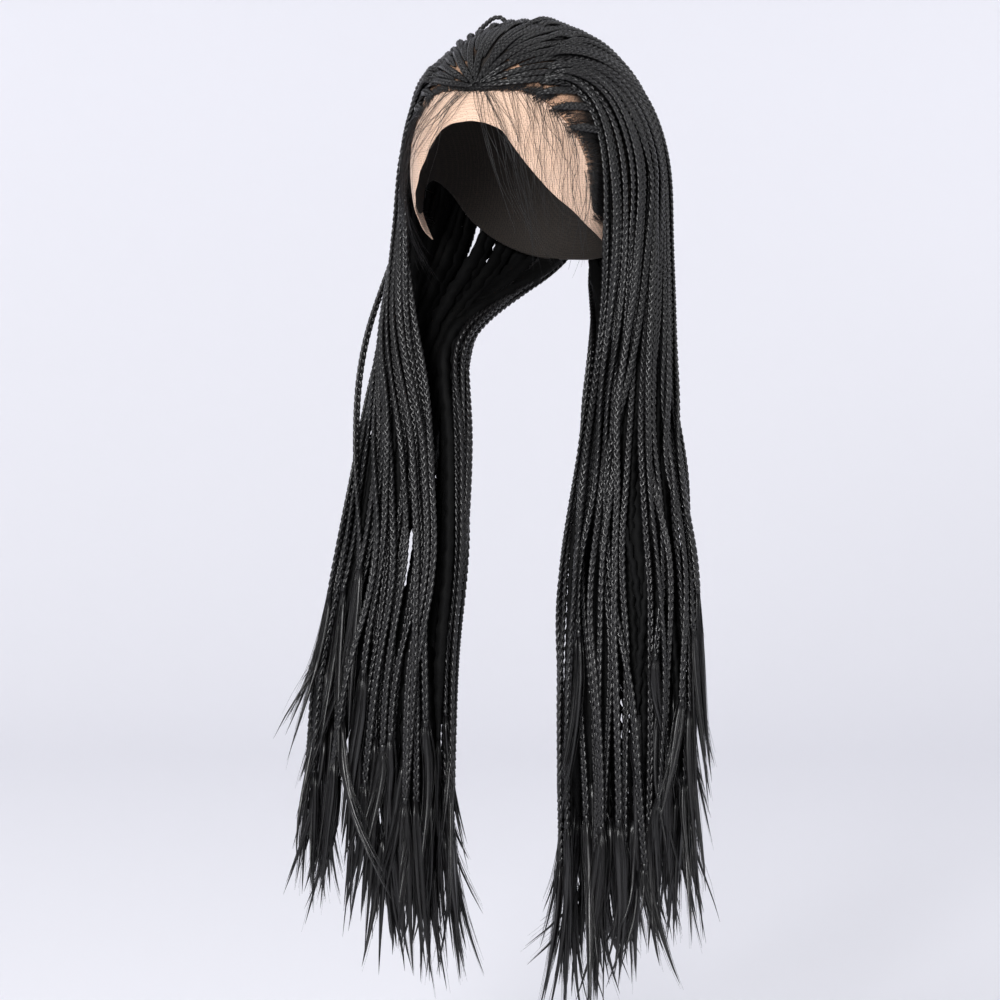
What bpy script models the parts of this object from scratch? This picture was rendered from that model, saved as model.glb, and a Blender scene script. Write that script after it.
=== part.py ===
"""Long braided wig, worn: a net cap with a sheer lace front, rows plaited flat over the crown,
and two falls of thin braids that are drawn forward over the shoulders and end in loose hair.

Metres, +Z up, the face looks along -Y and the wearer's left is +X. The origin is the crown of
the head inside the cap, where the wig is carried.
"""

import math

import bmesh
import bpy
from mathutils import Vector

# The head that the cap is cut for: an ellipsoid with its crown at the origin.
HEAD_HALF_BREADTH = 0.079
HEAD_HALF_LENGTH = 0.100
HEAD_HALF_HEIGHT = 0.100

# Walls of the cap and the lace, and the gaps that neighbours keep.
CAP_WALL = 0.0015
LACE_WALL = 0.0010
EDGE_GAP_DEG = 0.35
SEAT_GAP = 0.0014
ROW_SEAT_GAP = 0.0003

# Angles on the head: bearing is 0 at the face and 180 at the back, height is 90 at the crown.
# Rows: place, bearing and height of the cap's edge, bearing and height of the lace's free edge.
EDGE = (
    ("brow centre", 0.0, 32.5, 0.0, 19.5),
    ("brow", 14.0, 32.8, 10.0, 18.5),
    ("brow peak", 26.0, 32.6, 18.5, 15.5),
    ("brow corner", 36.0, 30.5, 24.5, 8.5),
    ("temple recess", 44.0, 25.5, 30.0, 2.5),
    ("temple", 51.5, 18.5, 35.5, -3.0),
    ("temple low", 57.0, 11.0, 41.0, -8.0),
    ("sideburn top", 61.0, 2.0, 47.0, -12.5),
    ("sideburn", 63.0, -8.0, 54.0, -16.5),
    ("sideburn tip", 66.5, -17.5, 62.5, -22.5),
    ("sideburn back", 76.0, -17.0, 77.5, -30.0),
    ("ear front", 83.5, -8.0, None, None),
    ("ear top", 94.0, -4.5, None, None),
    ("ear back", 106.0, -10.0, None, None),
    ("behind the ear", 117.0, -22.0, None, None),
    ("neck side", 134.0, -33.0, None, None),
    ("nape", 157.0, -40.0, None, None),
)
NAPE_CENTRE = (180.0, -41.0)
CAP_ROWS = 7
LACE_ROWS = 3

# The cap is sewn from panels: one over the crown, and below its row others between seams that
# start at these places of the edge. Panels keep the gap of a seam.
CROWN_ROW = 4
SEAM_PLACES = ("temple recess", "sideburn back", "neck side")
SEAM_GAP = 0.0003

# The flow of the hair over the cap: it leaves a point at the middle of the brow, spreads like a
# fan, and turns down at the head's widest ring. "Share" runs from 0 at the temple to 1 at the
# middle of the back.
FAN_POINT = (0.0, 34.0)
FAN_TURN_DEG = (88.0, 3.0)
FAN_PULL = 0.75
RING_BEARING_DEG = (65.5, 179.0)
RING_LEAD_HEIGHT_DEG = 52.0

# Rows plaited flat on the cap.
FAN_ROWS_A_SIDE = 10
FAN_ROW_SPAN = (0.065, 0.395)
FAN_ROW_RADIUS = 0.0027
FAN_ROW_TIP_RADIUS = 0.0005
FAN_ROW_POINTS = 8
TEMPLE_ROW_RADIUS = 0.0025
TEMPLE_ROW_POINTS = 5
# Rows: bearing and height at the hairline, then where the row goes under the fall.
TEMPLE_ROWS = (
    ("upper", 37.0, 30.2, 54.0, 30.6),
    ("middle", 46.0, 24.2, 59.0, 24.0),
    ("lower", 53.5, 16.6, 61.5, 15.8),
)

# Falls: locks of braids side by side, lying on the cap and then gathered into a rounded bundle.
LOCKS_A_SIDE = 6
LOBES_A_LOCK = 3
LOCK_START = 0.43
DOME_STEPS = (LOCK_START, 0.50, 0.58, 0.66, 0.74, 0.83, 0.915, 1.0)
HAIR_THICKNESS_AT_START = 0.0065
HAIR_THICKNESS_AT_RING = 0.0190
HAIR_THICKENS = 1.25
THIN_AT_FACE = 0.42
FULL_FROM_SHARE = 0.17
# Below the ring the hair follows the head down to the cap's edge. Each lock is one piece where it
# lies on the cap and another where it hangs. Rows: share, height where it leaves the cap.
LEAVES_CAP = (
    (0.00, -13.5),
    (0.08, -15.5),
    (0.16, -6.5),
    (0.25, -3.0),
    (0.36, -8.5),
    (0.46, -20.0),
    (0.62, -31.0),
    (0.80, -38.0),
    (1.00, -39.5),
)
ON_CAP_STEPS = 3
OUTSIDE_FOLLOWS = (0.15, 0.60)
PIECE_GAP = 0.0004
LOCK_GAP_SHARE = 0.0042
CORE_REACH = 0.30
RIB_REACH = 0.93
RIB_ON_CAP = 0.0010
BUNDLE_TURN_DEG = (-122.0, 168.0)
STEPS_BETWEEN_SECTIONS = (3, 2, 2, 2, 2)

# Sections of a fall, in metres: height, centre, half width across the chest, half depth, and how
# far the section is turned about Z.
SECTION_COLUMNS = ("z", "x", "y", "across", "deep", "turn_deg")
LEFT_SECTIONS = (
    (-0.215, 0.0785, 0.010, 0.0315, 0.040, 24.0),
    (-0.290, 0.0870, -0.018, 0.0375, 0.033, 12.0),
    (-0.370, 0.0960, -0.041, 0.0505, 0.028, 12.0),
    (-0.455, 0.1000, -0.050, 0.0535, 0.027, 12.0),
    (-0.560, 0.1020, -0.052, 0.0530, 0.027, 12.0),
)
RIGHT_SECTIONS = (
    (-0.215, -0.0785, -0.0165, 0.0315, 0.040, -24.0),
    (-0.290, -0.0700, -0.040, 0.0440, 0.034, 0.0),
    (-0.370, -0.0655, -0.066, 0.0485, 0.028, 12.0),
    (-0.455, -0.0775, -0.075, 0.0555, 0.027, 12.0),
    (-0.560, -0.0830, -0.077, 0.0625, 0.027, 12.0),
)

# Loose ends: each lobe of a lock parts from its neighbours and tapers to a point. They are short
# on the outer side of a fall and long on its inner side.
END_DROP = (-0.015, 0.045)
TIP_HEIGHT_OUTER = {"left": -0.622, "right": -0.602}
TIP_HEIGHT_INNER = {"left": -0.690, "right": -0.682}
TIP_STAGGER = 0.016
TIP_SWING = 0.0025
TIP_REACH = 0.86
TIP_SIZE = 0.10
TIP_SHOULDER = 0.62
TIP_SHOULDER_SIZE = 0.55

HAIR_BLACK = (0.012, 0.012, 0.013)
LACE_TAN = (0.48, 0.30, 0.21)
CAP_BROWN = (0.055, 0.040, 0.033)


def clear_scene():
    """Remove what the startup file holds."""
    for obj in list(bpy.data.objects):
        bpy.data.objects.remove(obj)


def collection(name):
    """A new collection for the wig's pieces."""
    made = bpy.data.collections.new(name)
    bpy.context.scene.collection.children.link(made)
    return made


def material(name, colour, roughness):
    """A plain Principled material."""
    made = bpy.data.materials.new(name)
    made.use_nodes = True
    shader = made.node_tree.nodes["Principled BSDF"]
    shader.inputs["Base Color"].default_value = (*colour, 1.0)
    shader.inputs["Roughness"].default_value = roughness
    shader.inputs["Metallic"].default_value = 0.0
    return made


def direction(bearing_deg, height_deg):
    """The unit vector at a bearing from the face and a height above the head's widest ring."""
    bearing, height = math.radians(bearing_deg), math.radians(height_deg)
    flat = math.cos(height)
    return Vector((flat * math.sin(bearing), -flat * math.cos(bearing), math.sin(height)))


def on_head(towards, lift):
    """The point over the scalp in a direction, at a height above the skin."""
    d = towards.normalized()
    return Vector((
        (HEAD_HALF_BREADTH + lift) * d.x,
        (HEAD_HALF_LENGTH + lift) * d.y,
        (HEAD_HALF_HEIGHT + lift) * d.z - HEAD_HALF_HEIGHT,
    ))


def between(ends, share):
    """The value at a share of the way between two ends."""
    return ends[0] + (ends[1] - ends[0]) * share


def side_sign(side):
    """+1 on the wearer's left, -1 on the right."""
    return 1.0 if side == "left" else -1.0


def mesh_object(name, points, faces, where, look):
    """A mesh object from points and faces, with its normals made to point out."""
    mesh = bpy.data.meshes.new(name)
    mesh.from_pydata([tuple(p) for p in points], [], faces)
    shell = bmesh.new()
    shell.from_mesh(mesh)
    bmesh.ops.recalc_face_normals(shell, faces=shell.faces)
    shell.to_mesh(mesh)
    shell.free()
    obj = bpy.data.objects.new(name, mesh)
    where.objects.link(obj)
    mesh.materials.append(look)
    return obj


def face_outwards(obj):
    """Turn an open surface round the head so that its faces look away from the head."""
    face = obj.data.polygons[0]
    if face.normal.dot(face.center - Vector((0.0, 0.0, -HEAD_HALF_HEIGHT))) < 0:
        obj.data.flip_normals()


def add_wall(obj, thickness):
    """Solidify an open surface towards the head."""
    wall = obj.modifiers.new("wall", "SOLIDIFY")
    wall.thickness = thickness
    wall.offset = -1.0


def cap_edge_directions():
    """Directions of the cap's edge, once round the head from the brow, left side first."""
    half = [(bearing, height) for _, bearing, height, _, _ in EDGE]
    there = half + [NAPE_CENTRE]
    back = [(-bearing, height) for bearing, height in reversed(half[1:])]
    return [direction(*angles) for angles in there + back]


def cap_grid():
    """Directions of the cap's surface: a column for each direction of its edge, up to the crown."""
    crown = Vector((0.0, 0.0, 1.0))
    return [[e.slerp(crown, row / CAP_ROWS) for row in range(CAP_ROWS)] for e in cap_edge_directions()]


def off_seam(at, inwards):
    """A direction on a seam, moved half the seam's gap towards a neighbour inside the panel."""
    return at.slerp(inwards, 0.5 * SEAM_GAP / HEAD_HALF_BREADTH / at.angle(inwards))


def panel_object(name, directions, faces, where, look):
    """A panel of the cap over a net of directions, closed by walls along its rim."""
    inside = len(directions)
    points = [on_head(at, lift) for lift in (CAP_WALL, 0.0) for at in directions]
    edges = {(face[k - 1], face[k]) for face in faces for k in range(len(face))}
    rim = [(a, b) for a, b in edges if (b, a) not in edges]
    walls = [tuple(i + inside for i in reversed(face)) for face in faces]
    walls += [(b, a, a + inside, b + inside) for a, b in sorted(rim)]
    return mesh_object(name, points, faces + walls, where, look)


def make_panel(name, columns, where, look):
    """A panel of the cap between two seams, from the edge up to the crown panel."""
    columns = [column[:CROWN_ROW + 1] for column in columns]
    columns[0] = [off_seam(at, inwards) for at, inwards in zip(columns[0], columns[1])]
    columns[-1] = [off_seam(at, inwards) for at, inwards in zip(columns[-1], columns[-2])]
    directions, faces = [], []
    for i, column in enumerate(columns):
        column[-1] = off_seam(column[-1], column[-2])
        directions += column
        for k in range(CROWN_ROW if i else 0):
            here = i * (CROWN_ROW + 1) + k
            before = here - (CROWN_ROW + 1)
            faces.append((before, here, here + 1, before + 1))
    panel_object(name, directions, faces, where, look)


def make_crown_panel(grid, where, look):
    """The panel over the crown."""
    rings = [[column[row] for column in grid] for row in range(CROWN_ROW, CAP_ROWS)]
    rings[0] = [off_seam(at, inwards) for at, inwards in zip(rings[0], rings[1])]
    count = len(grid)
    directions = [at for ring in rings for at in ring]
    faces = []
    for row in range(len(rings) - 1):
        for i in range(count):
            j = (i + 1) % count
            faces.append((row * count + i, row * count + j, (row + 1) * count + j, (row + 1) * count + i))
    last = (len(rings) - 1) * count
    faces += [(last + i, last + (i + 1) % count, len(directions)) for i in range(count)]
    directions.append(Vector((0.0, 0.0, 1.0)))
    panel_object("cap_crown", directions, faces, where, look)


def make_cap(where, look):
    """The net cap, from its panels."""
    grid = cap_grid()
    count = len(grid)
    nape = len(EDGE)
    places = [row[0] for row in EDGE]
    temple, ear, neck = (places.index(place) for place in SEAM_PLACES)
    make_crown_panel(grid, where, look)
    make_panel("cap_front", grid[count - temple:] + grid[:temple + 1], where, look)
    for name, first, last in (("temple", temple, ear), ("ear", ear, neck), ("nape", neck, nape)):
        make_panel(f"cap_{name}_left", grid[first:last + 1], where, look)
        make_panel(f"cap_{name}_right", grid[count - last:count - first + 1], where, look)


def make_lace_front(where, look):
    """The sheer strip in front of the hairline, from one ear tab over the brow to the other."""
    half = [row for row in EDGE if row[3] is not None]
    rows = [(1, row) for row in reversed(half[1:])] + [(-1, row) for row in half]
    columns = []
    for sign, (_, bearing, height, free_bearing, free_height) in rows:
        hair = direction(sign * bearing, height)
        free = direction(sign * free_bearing, free_height)
        gap = math.radians(EDGE_GAP_DEG) / hair.angle(free)
        columns.append([
            on_head(hair.slerp(free, gap + (1.0 - gap) * step / LACE_ROWS), CAP_WALL)
            for step in range(LACE_ROWS + 1)
        ])
    points = [p for column in columns for p in column]
    wide, faces = LACE_ROWS + 1, []
    for i in range(len(columns) - 1):
        for k in range(LACE_ROWS):
            first = i * wide + k
            faces.append((first, first + 1, first + wide + 1, first + wide))
    lace = mesh_object("lace_front", points, faces, where, look)
    face_outwards(lace)
    add_wall(lace, LACE_WALL)


def flow_direction(side, share, along):
    """Where the hair of one share lies on the dome: along is 0 at the fan's point, 1 at the ring."""
    sign = side_sign(side)
    start = direction(*FAN_POINT)
    turn = math.radians(between(FAN_TURN_DEG, share))
    height = math.radians(FAN_POINT[1])
    up = Vector((0.0, math.sin(height), math.cos(height)))
    leaving = start + FAN_PULL * (math.cos(turn) * up + math.sin(turn) * Vector((sign, 0.0, 0.0)))
    bearing = sign * between(RING_BEARING_DEG, share)
    coming = direction(bearing, RING_LEAD_HEIGHT_DEG)
    end = direction(bearing, 0.0)
    rest = 1.0 - along
    weights = (rest**3, 3 * rest**2 * along, 3 * rest * along**2, along**3)
    return sum((w * d for w, d in zip(weights, (start, leaving, coming, end))), Vector()).normalized()


def tube(name, points, radii, where, look):
    """A round braid along points, as a poly curve with a radius at each point."""
    curve = bpy.data.curves.new(name, "CURVE")
    curve.dimensions = "3D"
    curve.bevel_depth = 1.0
    curve.bevel_resolution = 1
    curve.use_fill_caps = True
    spline = curve.splines.new("POLY")
    spline.points.add(len(points) - 1)
    for place, point, radius in zip(spline.points, points, radii):
        place.co = (*point, 1.0)
        place.radius = radius
    obj = bpy.data.objects.new(name, curve)
    where.objects.link(obj)
    curve.materials.append(look)
    return obj


def make_fan_row(side, index, where, look):
    """One row plaited flat on the crown, thin at the brow and full where it leaves the cap."""
    share = 1.0 - (index + 0.5) / FAN_ROWS_A_SIDE
    points, radii = [], []
    for k in range(FAN_ROW_POINTS):
        part = k / (FAN_ROW_POINTS - 1)
        along = between(FAN_ROW_SPAN, part)
        radius = between((FAN_ROW_TIP_RADIUS, FAN_ROW_RADIUS), min(1.0, part * 1.6))
        points.append(on_head(flow_direction(side, share, along), CAP_WALL + ROW_SEAT_GAP + radius))
        radii.append(radius)
    return tube(f"cornrow_{side}_{index + 1:02d}", points, radii, where, look)


def make_temple_row(side, row, where, look):
    """One short row at the temple, running back from the hairline until the fall covers it."""
    name, bearing, height, end_bearing, end_height = row
    start = direction(side_sign(side) * bearing, height)
    end = direction(side_sign(side) * end_bearing, end_height)
    points, radii = [], []
    for k in range(TEMPLE_ROW_POINTS):
        part = k / (TEMPLE_ROW_POINTS - 1)
        radius = between((FAN_ROW_TIP_RADIUS, TEMPLE_ROW_RADIUS), min(1.0, part * 1.6))
        points.append(on_head(start.slerp(end, part), CAP_WALL + ROW_SEAT_GAP + radius))
        radii.append(radius)
    return tube(f"temple_row_{side}_{name}", points, radii, where, look)


def section_point(section, side, share, reach):
    """A point of a fall's section: reach 1 is its outline and 0 its middle."""
    row = dict(zip(SECTION_COLUMNS, section))
    turn = math.radians(between(BUNDLE_TURN_DEG, share))
    across = side_sign(side) * row["across"] * math.cos(turn) * reach
    deep = row["deep"] * math.sin(turn) * reach
    body = math.radians(row["turn_deg"])
    return Vector((
        row["x"] + across * math.cos(body) - deep * math.sin(body),
        row["y"] + across * math.sin(body) + deep * math.cos(body),
        row["z"],
    ))


def ring_thickness(share):
    """How thick the hair lies at the head's widest ring: thin next to the face."""
    return HAIR_THICKNESS_AT_RING * between((THIN_AT_FACE, 1.0), min(1.0, share / FULL_FROM_SHARE))


def dome_pair(side, share, along, groove):
    """Outer and inner point of a fall where it lies on the cap."""
    full = ((along - LOCK_START) / (1.0 - LOCK_START)) ** HAIR_THICKENS
    thickness = between((HAIR_THICKNESS_AT_START, ring_thickness(share)), full)
    towards = flow_direction(side, share, along)
    inner = CAP_WALL + SEAT_GAP
    return on_head(towards, inner + thickness - groove * RIB_ON_CAP), on_head(towards, inner)


def leaves_cap_height(share):
    """The height, in degrees, at which the hair of one share leaves the cap."""
    for (share_a, height_a), (share_b, height_b) in zip(LEAVES_CAP, LEAVES_CAP[1:]):
        if share <= share_b:
            return between((height_a, height_b), (share - share_a) / (share_b - share_a))
    return LEAVES_CAP[-1][1]


def below_ring_pair(side, share, part, groove):
    """Outer and inner point between the head's widest ring and where the hair leaves the cap."""
    bearing = side_sign(side) * between(RING_BEARING_DEG, share)
    height = part * leaves_cap_height(share)
    lift = CAP_WALL + SEAT_GAP
    inner = on_head(direction(bearing, height), lift)
    thickness = ring_thickness(share) - groove * RIB_ON_CAP
    outer = on_head(direction(bearing, height * between(OUTSIDE_FOLLOWS, share)), lift + thickness)
    outer.z = inner.z
    return outer, inner


def inwardness(share):
    """0 on the outer side of a fall, 1 on the side towards the neck."""
    return 0.5 - 0.5 * math.cos(math.radians(between(BUNDLE_TURN_DEG, share)))


def section_pair(section, side, share, groove):
    """Outer and inner point of a fall where it hangs free."""
    reach = RIB_REACH if groove else 1.0
    return section_point(section, side, share, reach), section_point(section, side, share, CORE_REACH)


def curve_between(a, b, c, d, share):
    """A point of the smooth curve from b to c, with a before it and d after it."""
    s2, s3 = share * share, share * share * share
    return 0.5 * (
        2 * b + (c - a) * share + (2 * a - 5 * b + 4 * c - d) * s2 + (3 * b - a - 3 * c + d) * s3
    )


def cap_column(side, share, groove):
    """The outer and inner points down one line of a lock where it lies on the cap."""
    column = [dome_pair(side, share, along, groove) for along in DOME_STEPS]
    for step in range(1, ON_CAP_STEPS + 1):
        column.append(below_ring_pair(side, share, step / ON_CAP_STEPS, groove))
    return column


def fall_column(side, share, groove):
    """The outer and inner points down one line of a lock from the cap's edge to the loose ends."""
    sections = LEFT_SECTIONS if side == "left" else RIGHT_SECTIONS
    keys = cap_column(side, share, groove)[-2:]
    keys += [section_pair(section, side, share, groove) for section in sections]
    for point in keys[-1]:
        point.z -= between(END_DROP, inwardness(share))
    first = [point - Vector((0.0, 0.0, PIECE_GAP)) for point in keys[1]]
    rows = [tuple(first)]
    for i, steps in zip(range(1, len(keys) - 1), STEPS_BETWEEN_SECTIONS):
        around = [keys[i - 1], keys[i], keys[i + 1], keys[min(i + 2, len(keys) - 1)]]
        for step in range(1, steps + 1):
            part = step / steps
            rows.append(tuple(curve_between(*(pair[k] for pair in around), part) for k in (0, 1)))
    return rows


def tip_of(side, lock, lobe, share):
    """The lowest point of a loose end: longest on the fall's inner side, with a small stagger."""
    sections = LEFT_SECTIONS if side == "left" else RIGHT_SECTIONS
    inward = inwardness(share)
    beat = math.sin(2.4 * (lock * LOBES_A_LOCK + lobe) + (0.7 if side == "left" else 2.1))
    tip = section_point(sections[-1], side, share, TIP_REACH)
    tip.z = between((TIP_HEIGHT_OUTER[side], TIP_HEIGHT_INNER[side]), inward) + TIP_STAGGER * beat
    tip.x += TIP_SWING * math.cos(2.9 * lock + lobe)
    tip.y += 0.5 * TIP_SWING * math.sin(1.7 * lock + 2 * lobe)
    return tip


def lock_shares(index):
    """The shares of the lines down one lock, first to last."""
    first = index / LOCKS_A_SIDE + LOCK_GAP_SHARE
    last = (index + 1) / LOCKS_A_SIDE - LOCK_GAP_SHARE
    lines = 2 * LOBES_A_LOCK + 1
    return [first + (last - first) * k / (lines - 1) for k in range(lines)]


def lock_walls(columns, points, faces):
    """Add the ribbed outside, the inside and the two flanks of a lock; return its ring size."""
    outer_count, inner_count = len(columns), (len(columns) + 1) // 2
    ring = outer_count + inner_count
    levels = len(columns[0])
    for level in range(levels):
        points += [column[level][0] for column in columns]
        points += [columns[2 * k][level][1] for k in reversed(range(inner_count))]
    for level in range(levels - 1):
        for i in range(ring):
            a, b = level * ring + i, level * ring + (i + 1) % ring
            # Neighbouring locks split their twisted flanks along the same diagonal.
            if i == outer_count - 1:
                faces += [(a, b, b + ring), (a, b + ring, a + ring)]
            else:
                faces += [(a, b, a + ring), (b, b + ring, a + ring)]
    faces += lock_end(0, ring)
    return ring


def lock_end(base, ring):
    """The triangles that close one end of a lock, the same on both sides of a joint."""
    made = []
    for lobe in range(LOBES_A_LOCK):
        left, middle, right = (base + 2 * lobe + k for k in range(3))
        under_left, under_right = base + ring - 1 - lobe, base + ring - 2 - lobe
        made += [(left, middle, under_left), (middle, under_right, under_left), (middle, right, under_right)]
    return made


def make_cap_lock(side, index, where, look):
    """The part of a lock that lies on the cap."""
    columns = [cap_column(side, share, k % 2 == 0) for k, share in enumerate(lock_shares(index))]
    points, faces = [], []
    ring = lock_walls(columns, points, faces)
    faces += lock_end(len(points) - ring, ring)
    return mesh_object(f"crown_lock_{side}_{index + 1}", points, faces, where, look)


def make_fall_lock(side, index, where, look):
    """The part of a lock that hangs: a ribbed wedge of the fall that parts into loose ends."""
    shares = lock_shares(index)
    columns = [fall_column(side, share, k % 2 == 0) for k, share in enumerate(shares)]
    points, faces = [], []
    ring = lock_walls(columns, points, faces)
    bottom = len(points) - ring
    for lobe in range(LOBES_A_LOCK):
        outer = [bottom + 2 * lobe + k for k in range(3)]
        inner = [bottom + ring - 1 - k for k in (lobe + 1, lobe)]
        add_loose_end(points, faces, outer + inner, tip_of(side, index, lobe, shares[2 * lobe + 1]))
    return mesh_object(f"fall_lock_{side}_{index + 1}", points, faces, where, look)


def add_loose_end(points, faces, ring, tip):
    """Close one lobe of a lock with hair that tapers to a small blunt tip."""
    middle = sum((points[i] for i in ring), Vector()) / len(ring)
    for part, size in ((TIP_SHOULDER, TIP_SHOULDER_SIZE), (1.0, TIP_SIZE)):
        centre = middle.lerp(tip, part)
        made = []
        for i in ring:
            made.append(len(points))
            offset = (points[i] - centre) if part == 1.0 else (points[i] - middle)
            offset.z = 0.0
            scale = size / TIP_SHOULDER_SIZE if part == 1.0 else size
            points.append(centre + offset * scale)
        for k in range(len(ring)):
            j = (k + 1) % len(ring)
            faces.append((ring[k], ring[j], made[j], made[k]))
        ring = made
    faces.append(tuple(ring))


def build():
    """Build the wig."""
    clear_scene()
    where = collection("braided_wig")
    hair = material("black braiding hair", HAIR_BLACK, 0.5)
    lace = material("sheer lace", LACE_TAN, 0.8)
    net = material("cap net", CAP_BROWN, 0.9)
    make_cap(where, net)
    make_lace_front(where, lace)
    for side in ("left", "right"):
        for index in range(FAN_ROWS_A_SIDE):
            make_fan_row(side, index, where, hair)
        for row in TEMPLE_ROWS:
            make_temple_row(side, row, where, hair)
        for index in range(LOCKS_A_SIDE):
            make_cap_lock(side, index, where, hair)
            make_fall_lock(side, index, where, hair)


build()
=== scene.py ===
"""Looks of the long braided wig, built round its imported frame.

Metres, +Z up. The face looks along -Y and the wearer's left is +X. The origin is the crown of the
head inside the cap. Each class below is one sub-assembly: it holds its sizes, builds its meshes
and dresses them.
"""

import logging
import math
from dataclasses import dataclass, field
from enum import Enum

import bpy
import numpy as np
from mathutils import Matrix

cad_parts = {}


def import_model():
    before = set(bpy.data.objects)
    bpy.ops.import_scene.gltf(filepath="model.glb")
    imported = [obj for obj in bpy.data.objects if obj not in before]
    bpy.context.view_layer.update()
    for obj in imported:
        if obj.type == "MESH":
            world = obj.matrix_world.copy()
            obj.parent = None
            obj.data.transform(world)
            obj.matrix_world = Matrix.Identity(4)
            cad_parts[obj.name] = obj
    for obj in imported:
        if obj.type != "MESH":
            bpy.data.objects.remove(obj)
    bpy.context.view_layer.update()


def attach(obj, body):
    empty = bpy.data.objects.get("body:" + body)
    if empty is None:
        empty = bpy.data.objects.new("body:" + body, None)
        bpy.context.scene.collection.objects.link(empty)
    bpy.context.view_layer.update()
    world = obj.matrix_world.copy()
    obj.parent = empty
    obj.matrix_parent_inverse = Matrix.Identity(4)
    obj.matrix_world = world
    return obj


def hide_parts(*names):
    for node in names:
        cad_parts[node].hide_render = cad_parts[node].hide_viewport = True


log = logging.getLogger("braided_wig")

MM = 0.001
BODY = "root"
WELD_M = 0.00002
SMOOTH_UNDER_DEG = 40

Value = float | np.ndarray


class Side(Enum):
    """A side of the wearer, with the sign of its X."""

    LEFT = 1.0
    RIGHT = -1.0

    @property
    def word(self) -> str:
        """The side's word in the names of nodes."""
        return self.name.lower()


def lerp(a: Value, b: Value, share: Value) -> Value:
    """The value at a share of the way from a to b."""
    return a + (b - a) * share


def unit(vectors: np.ndarray) -> np.ndarray:
    """Vectors of length one, along the last axis."""
    return vectors / np.maximum(np.linalg.norm(vectors, axis=-1, keepdims=True), 1e-9)


def bearing_direction(bearing_deg: Value, height_deg: Value) -> np.ndarray:
    """Directions from the head's middle.

    Args:
        bearing_deg: 0 at the face, 90 at the wearer's left, 180 at the back.
        height_deg: degrees above the head's widest ring.

    Returns:
        Unit vectors in the last axis.
    """
    bearing, height = np.radians(bearing_deg), np.radians(height_deg)
    flat = np.cos(height)
    parts = (flat * np.sin(bearing), -flat * np.cos(bearing), np.sin(height))
    return np.stack(np.broadcast_arrays(*parts), axis=-1)


def arc_between(a: np.ndarray, b: np.ndarray, share: Value) -> np.ndarray:
    """Directions along the great arc from a to b, both unit vectors."""
    angle = np.arccos(np.clip((a * b).sum(-1, keepdims=True), -1, 1))
    share = np.asarray(share)[..., None]
    between = np.sin((1 - share) * angle) * a + np.sin(share * angle) * b
    return between / np.maximum(np.sin(angle), 1e-9)


def curve_sample(points: np.ndarray, at: np.ndarray) -> np.ndarray:
    """Points of the smooth curve through a row of points.

    Args:
        points: (count, 3).
        at: places along it, counted in points from 0.

    Returns:
        (len(at), 3).
    """
    last = len(points) - 1
    i = np.clip(np.floor(at).astype(int), 0, last - 1)
    t = (at - i)[:, None]
    a, b = points[np.maximum(i - 1, 0)], points[i]
    c, d = points[i + 1], points[np.minimum(i + 2, last)]
    square, cube = 2 * a - 5 * b + 4 * c - d, 3 * b - a - 3 * c + d
    return 0.5 * (2 * b + (c - a) * t + square * t**2 + cube * t**3)


class Wander:
    """A smooth random walk made of a few waves, for what hangs by itself."""

    TURNS_VARY = (0.75, 1.3)
    HEIGHT = 0.6

    def __init__(self, rng: np.random.Generator, turns: tuple[float, ...] = (0.8, 1.9, 3.7)) -> None:
        """Choose the waves.

        Args:
            rng: the source of chance.
            turns: how many waves fit in the whole length.
        """
        self.turns = np.array(turns) * rng.uniform(*self.TURNS_VARY, len(turns))
        self.phases = rng.uniform(0, 2 * math.pi, len(turns))
        self.sizes = rng.normal(0, 1, len(turns)) / np.sqrt(np.arange(1, len(turns) + 1))

    def at(self, share: np.ndarray) -> np.ndarray:
        """The walk's value, about -1.5 to 1.5, at shares 0 to 1 of the length."""
        share = np.asarray(share)[..., None]
        waves = np.sin(2 * math.pi * self.turns * share + self.phases)
        return (self.sizes * waves).sum(-1) * self.HEIGHT


# Materials


def linear(hex_colour: str) -> tuple[float, float, float, float]:
    """An sRGB hex colour as linear RGBA."""
    parts = [int(hex_colour[i : i + 2], 16) / 255 for i in (1, 3, 5)]
    return (*(c / 12.92 if c <= 0.04045 else ((c + 0.055) / 1.055) ** 2.4 for c in parts), 1.0)


def add_node(
    material: bpy.types.Material, kind: str, settings: dict | None = None, links: dict | None = None
) -> bpy.types.Node:
    """Add a node to a material.

    Args:
        material: the material.
        kind: the node's type name.
        settings: values by socket name or number, or by property name after a dot.
        links: source sockets by the name or number of the input that they feed.

    Returns:
        The node.
    """
    tree = material.node_tree
    made = tree.nodes.new(kind)
    for name, value in (settings or {}).items():
        if str(name).startswith("."):
            setattr(made, name[1:], value)
        else:
            made.inputs[name].default_value = value
    for name, source in (links or {}).items():
        tree.links.new(source, made.inputs[name])
    return made


def new_material(name: str) -> bpy.types.Material:
    """An empty node material."""
    material = bpy.data.materials.new(name)
    material.use_nodes = True
    material.node_tree.nodes.clear()
    return material


def finish_material(
    material: bpy.types.Material, settings: dict, links: dict | None = None
) -> bpy.types.Material:
    """Give a material its shader and output, by the settings and links of add_node."""
    shader = add_node(material, "ShaderNodeBsdfPrincipled", {"Metallic": 0.0} | settings, links)
    add_node(material, "ShaderNodeOutputMaterial", links={"Surface": shader.outputs[0]})
    return material


def add_noise(
    material: bpy.types.Material, place: bpy.types.NodeSocket, scale: float, roughness: float = 0.5
) -> bpy.types.NodeSocket:
    """Add noise over a place."""
    settings = {"Scale": scale, "Detail": 2.0, "Roughness": roughness}
    return add_node(material, "ShaderNodeTexNoise", settings, {"Vector": place}).outputs["Fac"]


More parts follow.
